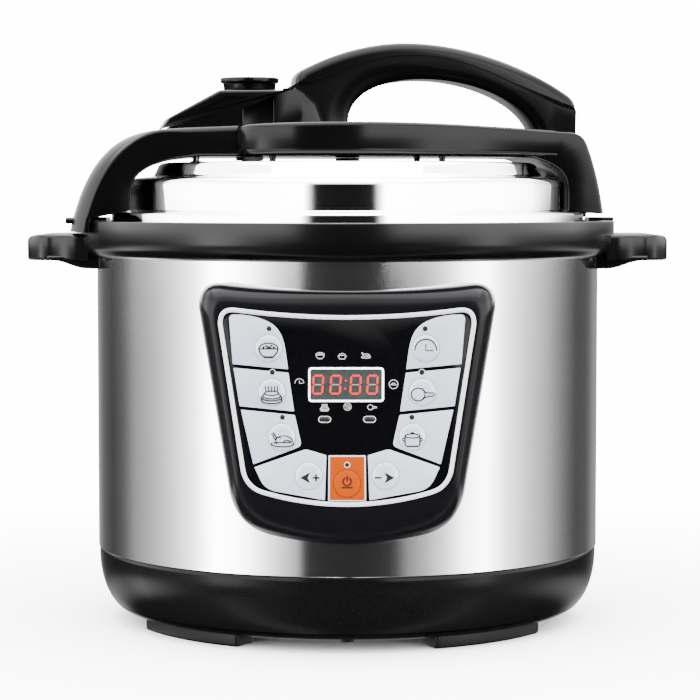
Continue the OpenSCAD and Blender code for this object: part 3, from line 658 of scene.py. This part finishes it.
def build_fields():
    """Silver fields under the keys, mirrored to both sides, and the orange one between."""
    for side, word in ((1, "left"), (-1, "right")):
        for i, (outline, rounds) in enumerate(FIELDS):
            line = [(side * x, z) for x, z in soften(outline, rounds, 7)]
            if side < 0:
                line.reverse()
            ob = slab(f"key_field_{word}_{i + 1}", line, 0.02, 0.6, 0.18, 0.02,
                      move=TO_PANEL, n=2)
            for at in KEYS:
                if on_field(at, side, outline):
                    round_hole(ob, at, KEY_R + 0.08, -1, 3)
            first = side > 0 and i == 0
            place(ob, "housing", FIELD, ["key_fields"] if first else ())
    line = soften([(-9.7, -25.2), (9.7, -25.2), (9.9, -49.2), (-9.9, -49.2)], 0.6, 3)
    rim = slab("cancel_rim", line, 0.02, 0.5, 0.1, 0.02, move=TO_PANEL, n=2)
    round_hole(rim, KEYS[CANCEL], KEY_R + 0.08, -1, 3)
    place(rim, "housing", FIELD)
    line = soften([(-8.9, -26), (8.9, -26), (9.1, -48.5), (-9.1, -48.5)], 0.5, 3)
    ob = slab("cancel_sheet", line, 0.1, 0.62, 0.1, 0.02, move=TO_PANEL, n=2)
    round_hole(ob, KEYS[CANCEL], KEY_R + 0.08, -1, 3)
    place(ob, "housing", ORANGE, ["cancel_field"])


def on_field(at, side, outline):
    """True if a key's centre lies on a left-half outline, mirrored when side is -1."""
    x, y = at[0] * side, at[1]
    inside = False
    for (x1, y1), (x2, y2) in zip(outline, outline[1:] + outline[:1]):
        if (y1 > y) != (y2 > y) and x < (x2 - x1) * (y - y1) / (y2 - y1) + x1:
            inside = not inside
    return inside


def build_key(i, at):
    """A domed round cap on its stem, with a soft step round the rim."""
    profile = [(0, 1.68), (2.5, 1.66), (4.6, 1.52), (6.0, 1.3), (6.7, 1.05), (7.05, 0.7),
               (KEY_R, 0.3), (KEY_R, -4.5), (2, -4.5), (2, -9.6), (0, -9.6)]
    move = TO_PANEL @ Matrix.Translation((at[0], at[1], 0))
    ob = lathe(f"key_cap_{i + 1}", profile, 56, move)
    orange = i == CANCEL
    place(ob, f"button_{i + 1}", ORANGE_KEY if orange else KEY,
          [f"key_{i + 1}"])


# Line drawings about (0, 0): lists of strokes in millimetres.
ICONS = {
    "bowl": [
        arc(0, 0.6, 4.4, 2.6, 0, 180), [(-4.4, 0.6), (4.4, 0.6)],
        [(-4.4, 0.6), (-3.8, -1.2), (-2.2, -3), (2.2, -3), (3.8, -1.2), (4.4, 0.6)],
        [(-2.0, -3.3), (2.0, -3.3)]] + [arc(x, y, 0.35, 0.2, 0, 360, 6) for x, y in (
            (-2.2, 1.3), (-1.0, 1.9), (0.2, 1.5), (1.4, 2.0), (2.4, 1.2), (-0.4, 1.1),
            (0.9, 1.0))],
    "cake": [
        arc(0, 0.3, 3.0, 0.9, 0, 360, 20), arc(0, -1.6, 4.4, 1.3, 180, 360),
        [(-4.4, -1.6), (-3.0, 0.3)], [(4.4, -1.6), (3.0, 0.3)],
        [(-4.4, -1.6), (-4.2, -3)], [(4.4, -1.6), (4.2, -3)],
        arc(0, -3, 4.2, 1.1, 180, 360), arc(0, -1.1, 3.6, 1.0, 180, 360)]
        + [[(x, 0.9), (x * 1.1, 3.2)] for x in (-2.4, -1.2, 0, 1.2, 2.4)],
    "roast": [
        arc(0.3, -2.1, 4.8, 1.2, 160, 380), arc(0.8, -0.9, 3.6, 2.2, -10, 165),
        [(-2.8, -0.2), (-3.6, 1.4), (-4.4, 2.2)], [(-2.2, 0.5), (-3.0, 1.9), (-3.7, 2.7)],
        arc(-1.3, -0.8, 1.2, 1.5, 40, 230), arc(2.2, -1.4, 1.5, 0.8, 20, 200),
        [(-3.4, -1.6), (3.9, -1.4)]],
    "clock": [arc(0, 0, 4.6, 4.6, 0, 180, 20), [(0, 2.4), (0, -0.2), (3.0, -0.2)]],
    "leg": [
        arc(-1.8, -0.2, 2.9, 2.6, 20, 330, 20),
        [(0.8, 0.9), (2.4, 0.4), (4.4, 0.5), (4.9, -0.1), (4.4, -0.8), (2.6, -0.9),
         (0.7, -1.6)], arc(-1.2, 0, 2.2, 2.4, -60, 70, 8)],
    "pot": [
        arc(0, 1.3, 3.2, 0.9, 0, 360, 20),
        [(-3.2, 1.3), (-3.2, -2.6), (-2.4, -3.2), (2.4, -3.2), (3.2, -2.6), (3.2, 1.3)],
        [(-3.2, 0.2), (-4.2, 0.2), (-4.2, -0.9), (-3.2, -0.9)],
        [(3.2, 0.2), (4.2, 0.2), (4.2, -0.9), (3.2, -0.9)],
        arc(0, 2.2, 0.8, 0.5, 0, 180, 6)],
    "plus": [[(1.2, -0.3), (4.4, -0.3)], [(2.8, 1.3), (2.8, -1.9)]],
    "minus": [[(-4.4, -0.3), (-1.4, -0.3)]],
    "power": [arc(0, -0.28, 2.1, 2.1, 125, 415, 22), [(0, 0.28), (0, 2.52)],
              [(-2.6, -3.4), (2.6, -3.4)]]}


def drawing(word, scale):
    """A line drawing at another size."""
    return [[(x * scale, y * scale) for x, y in line] for line in ICONS[word]]


def arrow_head(name, at, way, lift, body):
    """Solid arrow head with a notched back, pointing along way (-1 left, 1 right)."""
    line = [(way * 3.2, 0), (-way * 2.0, 2.9), (-way * 0.7, 0), (-way * 2.0, -2.9)]
    outline = [(at[0] + x, at[1] + y) for x, y in line]
    if way > 0:
        outline.reverse()
    ob = slab(name, outline, lift, lift + 0.07, 0.01, move=TO_PANEL, n=1)
    place(ob, body, INK)


def build_icons():
    """Ink marks on the key caps and small white signs on the black sheet."""
    ink, low = 0.07, 1.66
    marks = [("bowl", 1.15, 0.64, (0, -0.9)), ("cake", 1.22, 0.62, (0, -0.9)),
             ("roast", 1.24, 0.6, (0, -0.9)), ("clock", 1.25, 0.7, (0, -0.9)),
             ("leg", 1.28, 0.62, (0, -0.9)), ("pot", 1.2, 0.66, (0, -0.9)),
             ("plus", 1.0, 0.9, (1.0, -0.6)), ("power", 1.0, 0.75, (0, 1.4)),
             ("minus", 1.0, 0.9, (-1.0, -0.6))]
    for i, ((x, y), (word, scale, width, shift)) in enumerate(zip(KEYS, marks)):
        ob = strokes("mark_" + word, drawing(word, scale), width, ink,
                     (x + shift[0], y + shift[1]), TO_PANEL, low)
        place(ob, f"button_{i + 1}", INK)
    arrow_head("mark_back", (KEYS[6][0] - 1.2, KEYS[6][1] - 0.9), -1, low, "button_7")
    arrow_head("mark_forward", (KEYS[8][0] + 1.4, KEYS[8][1] - 0.9), 1, low, "button_9")
    signs = [(drawing(word, 0.5), at, 0.34) for word, at in
             (("bowl", (-14.1, 26.8)), ("pot", (-2.6, 26.6)), ("roast", (9.7, 27)),
              ("clock", (-24.9, 12.4)), ("cake", (-11.8, -0.2)), ("leg", (13.0, -0.1)))]
    wave = [[(x + 0.35 * math.sin(t * 6.28), -1.1 + 2.2 * t) for t in
             (k / 10 for k in range(11))] for x in (-0.8, 0.1, 1.0)]
    signs.append((wave + [arc(0, 0, 1.9, 1.9, 0, 360, 24)], (0.2, 0.1), 0.3))
    lid = [arc(0, 0, 2.3, 2.3, 0, 360, 24), [(-1.5, -0.3), (1.5, -0.3)],
           arc(0, -0.3, 1.1, 1.0, 0, 180, 8)]
    signs.append((lid, (24.2, 11.8), 0.34))
    for n, (lines, at, width) in enumerate(signs):
        place(strokes(f"sign_{n + 1}", lines, width, 0.05, at, TO_PANEL, 0.01), "housing",
              WHITE_INK)


def status_lamp(n, at, bead, cuff):
    """A small round lamp with a silver cuff, from their two outlines."""
    move = TO_PANEL @ Matrix.Translation((*at, 0.1))
    place(lathe(f"status_lamp_{n}", bead, 24, move), "housing", INK)
    place(lathe(f"status_cuff_{n}", cuff, 24, move), "housing", FIELD)


def build_lamps():
    """Two long lamps under the display and a round one at seven of the keys."""
    for n, x in enumerate((-11.7, 11.7)):
        outer = [(x + px, -6.5 + pz) for px, pz in
                 arc(1.6, 0, 1.55, 1.55, -90, 90, 10) + arc(-1.6, 0, 1.55, 1.55, 90, 270, 10)]
        inner = inset_line(outer, 0.55)
        ring = strokes(f"lamp_rim_{n + 1}", [[*outer, outer[0]]], 0.45, 0.5, (0, 0), TO_PANEL,
                       0.02)
        place(ring, "housing", WHITE_INK)
        lens = slab(f"lamp_lens_{n + 1}", inner, 0.02, 0.42, 0.3, 0.02, move=TO_PANEL, n=3)
        place(lens, "housing", LENS, () if n else ["lamp_lenses"])
    for n, (x, y) in enumerate(KEYS[:6]):
        status_lamp(n + 1, (x + (0.3 if n < 3 else -0.3), y + 10.4),
                    [(0, 0.85), (0.9, 0.8), (1.25, 0.66), (1.4, 0.4), (1.4, 0), (0, 0)],
                    [(1.45, 0), (1.8, 0), (1.8, 0.45), (1.6, 0.55), (1.45, 0.42)])
    status_lamp(7, (0, -30.2),
                [(0, 0.85), (0.6, 0.8), (0.95, 0.66), (1.1, 0.4), (1.1, 0), (0, 0)],
                [(1.15, 0), (1.6, 0), (1.6, 0.55), (1.35, 0.64), (1.15, 0.5)])


def segment(cx, cy, length, width, across):
    """One bar of a seven-segment digit: a long hexagon."""
    a, b = length / 2, width / 2
    bar = [(-a, 0), (-a + b, b), (a - b, b), (a, 0), (a - b, -b), (-a + b, -b)]
    if not across:
        bar = [(-y, x) for x, y in bar]
    slant = 0.06
    return [(cx + x + slant * (cy + y), cy + y) for x, y in bar]


def build_display():
    """The display's rim and pane, and its digits: four zeros and a colon lit, the middle
    bars unlit."""
    line = soften(box_line(-20.2, 2.6, 19.2, 20.6), 2.0, 6)
    rim = slab("display_rim", line, 0.02, 0.5, 0.12, 0.02, move=TO_PANEL, n=2)
    pane_line = soften(box_line(-19.2, 3.6, 18.2, 19.6), 1.2, 5)
    combine(rim, slab("cut", pane_line, -1, 2, 0.01, move=TO_PANEL, n=1))
    place(rim, "housing", FRAME_WHITE, ["display_window"])
    place(slab("display_pane", pane_line, 0.01, 0.2, 0.02, move=TO_PANEL, n=1), "housing",
          WINDOW)
    half, wide, thick = 4.7, 5.0, 1.15
    lit, unlit = [], []
    for cx in (-15.2, -6.0, 4.4, 13.2):
        lit += [segment(cx, y, wide - 0.3, thick, True) for y in (half, -half)]
        lit += [segment(cx + x, y, half - 0.3, thick, False) for y in (half / 2, -half / 2)
                for x in (-wide / 2, wide / 2)]
        unlit.append(segment(cx, 0, wide - 0.8, 0.6, True))
    for y in (-2.1, 2.1):
        lit.append(arc(-0.8 + 0.06 * y, y, 0.55, 0.55, 0, 350, 11))
    for name, outlines, mat in (("digits_lit", lit, LED_ON), ("digits_unlit", unlit, LED_OFF)):
        verts, faces = [], []
        for outline in outlines:
            base, n = len(verts), len(outline)
            for z in (0.21, 0.33):
                verts += [(x, y + DISPLAY_Y, z) for x, y in outline]
            faces.append(tuple(range(base + n, base + 2 * n)))
            faces.append(tuple(range(base + n - 1, base - 1, -1)))
            faces += [(base + i, base + (i + 1) % n, base + n + (i + 1) % n, base + n + i)
                      for i in range(n)]
        place(make(name, verts, faces, TO_PANEL), "housing", mat)


# ---- lid
def build_lid():
    """The polished lid as one turned shell, and the locking lugs inside its skirt."""
    t = 1.4
    top = 264
    outer = soften([(LID_R, 218.5), (LID_R, 235.5), (127, 236.3), (126, 236.6), (126, 254.6),
                    (112.4, 255.7), (108.6, 263.6), (60, top)],
                   [0, 1.6, 0.8, 0.6, 5.0, 1.6, 2.6, 0], 7, closed=False)
    inner = [(60, top - t), (105.4, 262.3), (107.8, 261), (110.2, 255.2), (111.4, 254.1),
             (120.4, 253.1), (123.2, 251.7), (124.6, 249), (124.6, 237), (126.4, 234.9),
             (LID_R - t, 234.2), (LID_R - t, 218.5)]
    profile = outer + [(0, top), (0, top - t)] + inner
    ob = lathe("lid_shell", profile, 256, sharp=40)
    far, near, half, count = 135.8, 131.4, 8, 10
    for i in range(count):
        mid = (i + 0.5) * 360 / count
        line = rim_arc(far, mid - half, mid + half, 8) + rim_arc(near, mid + half, mid - half, 8)
        lug = slab(f"lid_lug_{i + 1}", line, 219, 221.4, 0.4, move=TO_LID, n=2)
        place(lug, "lid", MIRROR)
    ob.data.transform(TO_LID)
    place(ob, "lid", MIRROR, ["lid_dome"])


def crown(x):
    """Height of the beam's top, a little arched."""
    return BEAM_CROWN - BEAM_FALL * x * x


def beam_stations():
    """Pairs of outer and inner points along the beam, left arm, top, right arm."""
    n = 22
    left_out = resample(bez([(-160.4, 224.2), (-155, 250), (-143, 280), (-112, 282)], 30)[4:],
                        n)
    left_in = resample([(-133.5, 236.6)] +
                       bez([(-133.5, 246), (-133.5, 257), (-126, 262), (-108, 265.6)], 10) +
                       [(-94, BEAM_LOW)], n)
    mid_x = [-100 + 12.5 * i for i in range(17)]
    mid_out = [(x, crown(x)) for x in mid_x]
    mid_in = [(x * 0.88, BEAM_LOW) for x in mid_x]
    right_out = resample([(112, 281.9)] + chain(
        (124, 281), (8, (135, 281.2), (137.5, 279), (139.6, 271.5)),
        (10, (143, 262), (146, 250), (148, 234.5))), n)
    right_in = resample([(94, BEAM_LOW)] +
                        bez([(108, 266.4), (122, 263), (128.5, 258), (128.5, 248)], 10) +
                        [(128.5, 236.6)], n)
    # the left arm's foot reaches down over the collar
    skirt_out = [(-160.3, 224.3), (-159.9, 226.5), (-159.2, 230.5)]
    skirt_in = [(-155.4, 224.3), (-155.4, 226.5), (-155.4, 232.6)]
    return (skirt_out + left_out + mid_out + right_out,
            skirt_in + left_in + mid_in + right_in)


def build_beam():
    """The arch with its two arms, wide and flat in the middle and curved in plan at the
    arms, then the hub and the small nub under the right arm."""
    outer, inner = beam_stations()
    rings = []
    across = 10
    corner = 5
    for (xo, zo), (xi, zi) in zip(outer, inner):
        o, i = np.array((xo, zo)), np.array((xi, zi))
        thick = np.linalg.norm(o - i)
        up = (o - i) / thick
        # 0 on the flat middle of the beam, 1 on its arms
        arm = min(1, max(0, (abs(xo) - 95) / 40))
        ro = min(4.2 - 2.8 * arm, thick * 0.42)
        ri = min(2.2, thick * 0.3)
        half = BEAM_HALF - 1.5 * arm
        section = []
        for r, level, sign in ((ro, thick, 1), (ri, 0, -1)):
            flat = [(half - r) * (2 * j / across - 1) for j in range(across + 1)]
            rim = [(half - r + r * math.sin(a), r * (1 - math.cos(a))) for a in
                   (math.pi / 2 * c / corner for c in range(1, corner + 1))]
            section += ([(-sign * y, level - sign * d) for y, d in reversed(rim)]
                        + [(sign * y, level) for y in flat]
                        + [(sign * y, level - sign * d) for y, d in rim])
        ring = []
        for y, d in section:
            p = i + up * d
            x = p[0]
            if arm:
                bent = math.copysign(math.sqrt(max(0, x * x - y * y)), x)
                x = x + (bent - x) * arm
            ring.append((x, y, p[1]))
        rings.append(ring)
    place(loft("beam_arch", rings, TO_LID, sharp=50), "lid", BEAM,
          ["lid_beam"])

    front = chain((-68, -44), (18, (-68, -62), (-45, -HUB_HALF), (-4, -HUB_HALF)),
                  (24, (45, -HUB_HALF), (62, -45.6), (116, -45)))
    hub = slab("beam_hub", front + [(x, -y) for x, y in reversed(front)], BEAM_LOW + 0.2,
               BEAM_CROWN, 2.6, 4.2, n=8, sharp=50)
    for v in hub.data.vertices:
        if v.co.z > (BEAM_LOW + BEAM_CROWN) / 2 * MM:
            v.co.z += (crown(v.co.x / MM) - BEAM_CROWN - 0.06) * MM
    hub.data.transform(TO_LID)
    place(hub, "lid", BEAM)
    nub = lathe("beam_nub", soften([(0, 232.4), (1.7, 232.4), (1.7, 237), (0, 237)],
                                   [0, 1.1, 0, 0], 4), 24,
                TO_LID @ Matrix.Translation((138.3, -7.2, 0)))
    place(nub, "lid", BEAM)


# Where the valve's hood and the grip's arch meet, from the left arm up to the cover.
SEAM = [(-104, 284), (-62, 293.7), (-42, 302.2), (-31.8, 307.4)]


# Outlines in the handle's own plane, left to right: the top of the grip's cover, its lower
# edge on the arch, and the finger opening under the arch.
COVER_TOP = chain((-31.9, 308.2), (6, (-31.8, 314), (-29, 316.4), (-24.7, 318.4)),
                  (14, (-8, 326.8), (12, 332.4), (32.7, 332.4)),
                  (18, (66, 332.4), (102, 320), (127, 302.8)),
                  (5, (130.6, 300), (131.4, 297), (131.7, 293.4)))
COVER_SEAM = chain((-31.9, 308.2), (14, (-18, 306.4), (0, 325), (36, 325.2)),
                   (16, (78, 325.2), (104, 300), (131.7, 293.4)))
OPENING = chain((-1.5, 284.9), (16, (-2.6, 303.5), (18, 311.8), (42, 311.8)),
                (18, (72, 311.8), (102, 299), (108.5, 281.6)))


def build_grip():
    """The grip: an arch over the finger opening whose left end widens into the valve's
    bed, and the cover along its top."""
    seam = [(x, z + 0.8) for x, z in COVER_SEAM]
    under = [SEAM[0]] + [(x, z + 0.7) for x, z in SEAM[1:-1]]
    right = [(131.7, crown(131.7) + 0.1), (120, 276), (109.8, 273), (109, 274)]
    hole = OPENING[::-1]
    left = [(-1.5, 272), (-20, 272), (-60, 276), (-100, crown(100) + 0.1), (-104, 282.4)]
    outline = under + seam + right + hole + left
    # the opening's rim is rounded twice as widely at its left end as at its right
    widen = [1.9 + 1.9 * min(1, max(0, (k / len(hole) - 0.45) / 0.3))
             for k in range(len(hole))]
    factor = ([0.05] * (3 + len(seam)) + [0.4, 0.2, 0.2, 1.9] + widen + [3.8]
              + [0.1] * (len(left) - 1))
    body = slab("grip_arch", outline, -GRIP_HALF, GRIP_HALF, 3.4, move=UPRIGHT, n=8,
                inset=factor, sharp=40)
    wide = under + [(-33, 306.4), (-27, 304.5), (-20, 298), (-16, 288), (-14, 274), (-60, 276),
                    (-100, crown(100) + 0.1), (-104, 282.4)]
    flank = slab("flank", wide, -25, 25, 7, move=UPRIGHT, n=8,
                 inset=[0.03] * 3 + [0.1, 0.7, 1.5, 2, 2, 0.1, 0.03, 0.03])
    combine(body, flank, "UNION")
    combine(body, lathe("bore", [(0, 270), (13, 270), (13, 330), (0, 330)], 64, TO_VALVE))
    for low, high in ((-30, -20.5), (20.5, 30)):
        combine(body, block("pocket", (-63, low, 283.6), (-44.4, high, 303), 0.5))
    body.data.transform(TO_LID)
    place(body, "lid", BEAM, ["grip_body"])

    line = COVER_TOP + COVER_SEAM[-2:0:-1]
    factor = ([0.5, 0.7, 0.9] + [1.25] * (len(COVER_TOP) - 6) + [0.9, 0.7, 0.5]
              + [0.05] * (len(COVER_SEAM) - 2))
    cover = slab("grip_cap", line, -GRIP_HALF - 1, GRIP_HALF + 1, 4.6, move=UPRIGHT, n=6,
                 inset=factor, sharp=45)
    cover.data.transform(TO_LID)
    place(cover, "lid", BEAM, ["grip_cover"])


def build_valve():
    """The valve's hood over the bed of the grip, and the round cap on top of it."""
    line = soften([(-108.4, 283.1), (-104.7, 289), (-75.7, 304.7), (-38, 304.9)],
                  [0, 1.5, 2.0, 1.0], 4)
    seam = [(-34.2, 306.5), (-33.6, 306.2), (-42, 302.65), (-62, 294.15), (-104, 284.45)]
    ob = slab("valve_hood", line + seam, -25, 25, 2.0, move=UPRIGHT, n=5,
              inset=[0.15] + [0.6] * 5 + [1] * 5 + [0.7] * 5 + [0.02] * 5, sharp=40)
    combine(ob, lathe("bore", [(0, 270), (13.2, 270), (13.2, 303.9), (15.6, 304.2),
                               (15.6, 330), (0, 330)], 64, TO_VALVE))
    combine(ob, lathe("hole", [(0, 270), (4.5, 270), (4.5, 330), (0, 330)], 32,
                      Matrix.Translation((FLOAT_X, 0, 0))))
    for low, high in ((-27, -23.8), (23.8, 27)):
        combine(ob, slab("dish", [(-88, 292.8), (-72, 301.2), (-60, 300.6), (-66, 297.6)],
                         low, high, 0.3, move=UPRIGHT, n=1))
    ob.data.transform(TO_LID)
    place(ob, "lid", BEAM, ["valve_housing"])

    cap = soften([(0, 312.6), (16.8, 312.6), (16.8, 309.8), (15.2, 309.2), (14.9, 305.4),
                  (12, 305.4), (12, 293), (8.1, 293), (8.1, 305.1), (0, 305.1)],
                 [0, 0.9, 0.6, 0.5, 0.5, 0.3, 0.5, 0.3, 0.3, 0], 4)
    ob = lathe("valve_knob", cap, 96, TO_VALVE)
    combine(ob, lathe("dish", soften([(0, 311.9), (12.6, 311.9), (13.6, 314), (0, 314)],
                                     [0, 0.6, 0, 0], 3), 64, TO_VALVE))
    ob.data.transform(TO_LID)
    place(ob, "cap", BEAM, ["valve_cap"])
    arrow = [rim_arc(9, 60, 120, 10), [(-4.5, 7.8), (-2.6, 9.8)], [(-4.5, 7.8), (-2.2, 7.2)]]
    place(strokes("valve_arrow", arrow, 0.5, 0.12, (VALVE_X, 0), TO_LID, 311.86), "cap",
          WHITE_INK)


def build_cup():
    """The condensate cup at the rear: a moulded clear box with a rolled rim."""
    half, near, far, low, high = 28, 148.8, 162.9, 146, 198
    rows = [(1.4, low), (0.5, low + 0.35), (0.1, low + 1.1), (0.0, low + 2.2), (0.35, high - 7),
            (0.35, high - 3), (0.0, high - 2.5), (0.0, high - 0.5), (0.4, high), (1.2, high),
            (1.7, high - 0.5), (2.0, high - 7), (1.9, low + 3.2), (2.6, low + 2.2),
            (4.2, low + 1.9)]
    rings = []
    for d, z in rows:
        line = box_line(-half + d, near + d, half - d, far - d)
        rings.append([(x, y, z) for x, y in soften(line, 4 * max(0.4, 1 - d * 0.12), 5)])
    place(loft("cup_body", rings, sharp=40), "cup", CUP,
          ["condensate_cup"])


# ---- small dark pieces
def build_nut():
    """The dark nut under the middle of the beam."""
    ob = lathe("hub_nut", soften([(0, 266.6), (6.4, 266.6), (6.9, 264.1), (0, 264.1)],
                                 [0, 1.2, 0.3, 0], 3), 6, TO_LID, sharp=20)
    place(ob, "lid", SATIN)


def dress_nodes():
    """Materials for the CAD nodes that stay as they are, mostly inside the body."""
    looks = {
        "bottom_cover": SATIN, "cooking_chamber": CHAMBER, "heat_shield": CHAMBER,
        "heating_plate": CAST, "heating_element": DARK_STEEL, "temperature_sensor": CAST,
        "sensor_spring": ZINC, "pressure_switch": SATIN, "thermal_fuse": CERAMIC,
        "power_board": BOARD, "board_components": PARTS, "control_board": BOARD,
        "display_module": SATIN, "power_inlet": SATIN, "inlet_pins": BRASS,
        "cup_bracket": SATIN, "base_screws": FOOT, "handle_screws": ZINC, "inner_pot": POT,
        "sealing_ring": SILICONE, "inner_lid_plate": MIRROR, "lid_nut": SATIN,
        "beam_screws": SATIN, "stand_pin": SATIN, "steam_pipe": DARK_STEEL,
        "valve_weight": POT, "float_valve": DARK_STEEL, "float_seal": SILICONE}
    for node, mat in looks.items():
        dress(node, mat)


# ---- surroundings
# A ramp value of 0 stands for 10 ** -LOG_LOW, and 1 for LOG_SPAN powers of ten more.
LOG_LOW = 3
LOG_SPAN = 5


def bands_level(nt, azimuth, bands):
    """Brightness of a row of soft boxes by azimuth; the ramp holds logarithms, so that the
    edges fall off evenly to the eye."""
    ramp = nt.nodes.new("ShaderNodeValToRGB")
    while len(ramp.color_ramp.elements) < len(bands):
        ramp.color_ramp.elements.new(0.5)
    for element, (angle, level) in zip(ramp.color_ramp.elements, bands):
        element.position = (angle + 180) / 360
        coded = (math.log10(level) + LOG_LOW) / LOG_SPAN
        element.color = (coded, coded, coded, 1)
    nt.links.new(azimuth, ramp.inputs["Fac"])
    power = add(nt, "Math", {0: ramp.outputs["Color"], 1: LOG_SPAN, 2: -LOG_LOW},
                operation="MULTIPLY_ADD").outputs[0]
    return add(nt, "Math", {0: 10, 1: power}, operation="POWER").outputs[0]


def blend_level(nt, height, low, high, below, above):
    """Passes from one level to another as the direction's height goes from low to high."""
    step = add(nt, "MapRange", {"From Min": low, "From Max": high, "Value": height},
               interpolation_type="SMOOTHSTEP").outputs["Result"]
    return add(nt, "Mix", {"Factor": step, "A": below, "B": above}).outputs["Result"]


def build_world():
    """A white studio: tall soft boxes at both sides, a dark gap behind the camera, a white
    ceiling, and dimmer bands low down. Azimuth 0 is the front. The camera itself sees plain
    white."""
    world = bpy.data.worlds.new("studio")
    bpy.context.scene.world = world
    world.use_nodes = True
    nt = world.node_tree
    nt.nodes.clear()
    way = add(nt, "TexCoord", {}).outputs["Generated"]
    split = add(nt, "SeparateXYZ", {0: way})
    flip = add(nt, "Math", {0: split.outputs["Y"], 1: -1}, operation="MULTIPLY").outputs[0]
    turn = add(nt, "Math", {0: split.outputs["X"], 1: flip}, operation="ARCTAN2").outputs[0]
    azimuth = add(nt, "MapRange", {"From Min": -math.pi, "From Max": math.pi,
                                   "Value": turn}).outputs["Result"]
    height = split.outputs["Z"]

    level_view = bands_level(nt, azimuth, [
        (-180, 0.6), (-164, 0.5), (-150, 0.17), (-135, 0.08), (-124, 0.15), (-112, 0.5),
        (-98, 0.9), (-85, 1.9), (-73, 4.6), (-62, 19), (-51, 16), (-41, 6.8), (-31, 2.2),
        (-22, 0.9), (-17.5, 0.04), (19, 0.035), (26, 0.36), (33, 0.75), (44, 2.2), (54, 8),
        (64, 15), (76, 3.9), (88, 1.7), (101, 0.85), (114, 0.3), (128, 0.1), (140, 0.12),
        (153, 0.35), (180, 0.6)])
    level_up = bands_level(nt, azimuth, [
        (-180, 3), (-155, 0.8), (-130, 2), (-112, 10), (-90, 14), (-22, 16), (-18.5, 1.2),
        (-15, 0.012), (12, 0.012), (15, 1.2), (19, 16), (90, 14), (112, 10), (130, 2),
        (155, 0.8), (180, 3)])
    level_low = bands_level(nt, azimuth, [
        (-180, 1), (-150, 1.2), (-128, 2.2), (-112, 8), (-98, 7), (-84, 4), (-68, 1.2),
        (-53, 0.6), (-36, 1.6), (-28, 1.5), (-18, 0.2), (-9, 0.02), (9, 0.02), (21, 0.9),
        (28, 1.7), (41, 0.7), (55, 0.6), (70, 1.5), (87, 3), (107, 4.5), (125, 3), (150, 1.2),
        (180, 1)])
    level = blend_level(nt, height, -0.29, -0.2, level_low, level_view)
    level = blend_level(nt, height, 0.0, 0.035, level, level_up)
    level = blend_level(nt, height, 0.3, 0.6, level, 9.0)
    faint = add(nt, "Math", {0: level_view, 1: 0.22}, operation="MULTIPLY").outputs[0]
    level = blend_level(nt, height, -0.48, -0.34, faint, level)
    white = (1, 1, 1, 1)
    studio = add(nt, "Background", {"Color": white, "Strength": level}).outputs[0]
    plain = add(nt, "Background", {"Color": white, "Strength": 16.0}).outputs[0]
    direct = add(nt, "LightPath", {}).outputs["Is Camera Ray"]
    seen = add(nt, "MixShader", {"Fac": direct, 1: studio, 2: plain}).outputs[0]
    add(nt, "OutputWorld", {"Surface": seen})


def build_floor():
    """A pale disc that fades into the white surroundings."""
    far, rings, steps = 1600, 40, 96
    verts, faces = [(0, 0, 0)], []
    for k in range(1, rings + 1):
        r = far * (k / rings) ** 1.5
        verts += [(r * math.cos(a), r * math.sin(a), 0) for a in
                  (2 * math.pi * i / steps for i in range(steps))]
    faces += [(0, 1 + i, 1 + (i + 1) % steps) for i in range(steps)]
    for k in range(rings - 1):
        a, b = 1 + k * steps, 1 + (k + 1) * steps
        faces += [(a + i, b + i, b + (i + 1) % steps, a + (i + 1) % steps)
                  for i in range(steps)]
    ob = make("floor", verts, faces)
    mat, nt, bsdf = plain_material("floor_paper")
    bsdf.inputs["Roughness"].default_value = 0.9
    bsdf.inputs["Specular IOR Level"].default_value = 0.1
    noise = add(nt, "TexNoise", {"Scale": 60}).outputs["Fac"]
    tint = add(nt, "MapRange", {"To Min": 0.9, "To Max": 0.94, "Value": noise})
    nt.links.new(tint.outputs["Result"], bsdf.inputs["Base Color"])
    at = add(nt, "TexCoord", {}).outputs["Object"]
    away = add(nt, "VectorMath", {0: at}, operation="LENGTH").outputs["Value"]
    fade = add(nt, "MapRange", {"From Min": 0.22, "From Max": 0.7, "To Min": 1, "To Max": 0,
                                "Value": away}, interpolation_type="SMOOTHSTEP")
    nt.links.new(fade.outputs["Result"], bsdf.inputs["Alpha"])
    ob.data.materials.append(mat)
    ob.visible_glossy = False


def build_lights():
    """One wide soft light from above."""
    data = bpy.data.lights.new("top_soft", "AREA")
    data.shape = "RECTANGLE"
    data.size, data.size_y = 2.4, 2.4
    data.energy = 190
    ob = bpy.data.objects.new("top_soft", data)
    ob.location = (0, -0.2, 1.9)
    aim = Vector((0, 0, 0.1)) - ob.location
    ob.rotation_euler = aim.to_track_quat("-Z", "Y").to_euler()
    bpy.context.scene.collection.objects.link(ob)


def build_camera():
    """The photo's view: from the front, a little above the middle, looking slightly down."""
    data = bpy.data.cameras.new("camera")
    data.sensor_width = 36
    data.lens = 128.7
    ob = bpy.data.objects.new("camera", data)
    ob.location = (0.0015, -1.458, 0.2456)
    ob.rotation_euler = (math.radians(90 - 3.56), 0, 0)
    bpy.context.scene.collection.objects.link(ob)
    bpy.context.scene.camera = ob


build_camera()
build_shell()
build_base()
build_collar()
build_side_handle("handle_right", "side_handle_right", 0)
build_side_handle("handle_left", "side_handle_left", math.pi)
build_feet()
build_bezel()
build_trim()
build_overlay()
build_fields()
for number, centre in enumerate(KEYS):
    build_key(number, centre)
build_icons()
build_lamps()
build_display()
build_lid()
build_beam()
build_grip()
build_valve()
build_cup()
build_nut()
dress_nodes()
build_world()
build_floor()
build_lights()
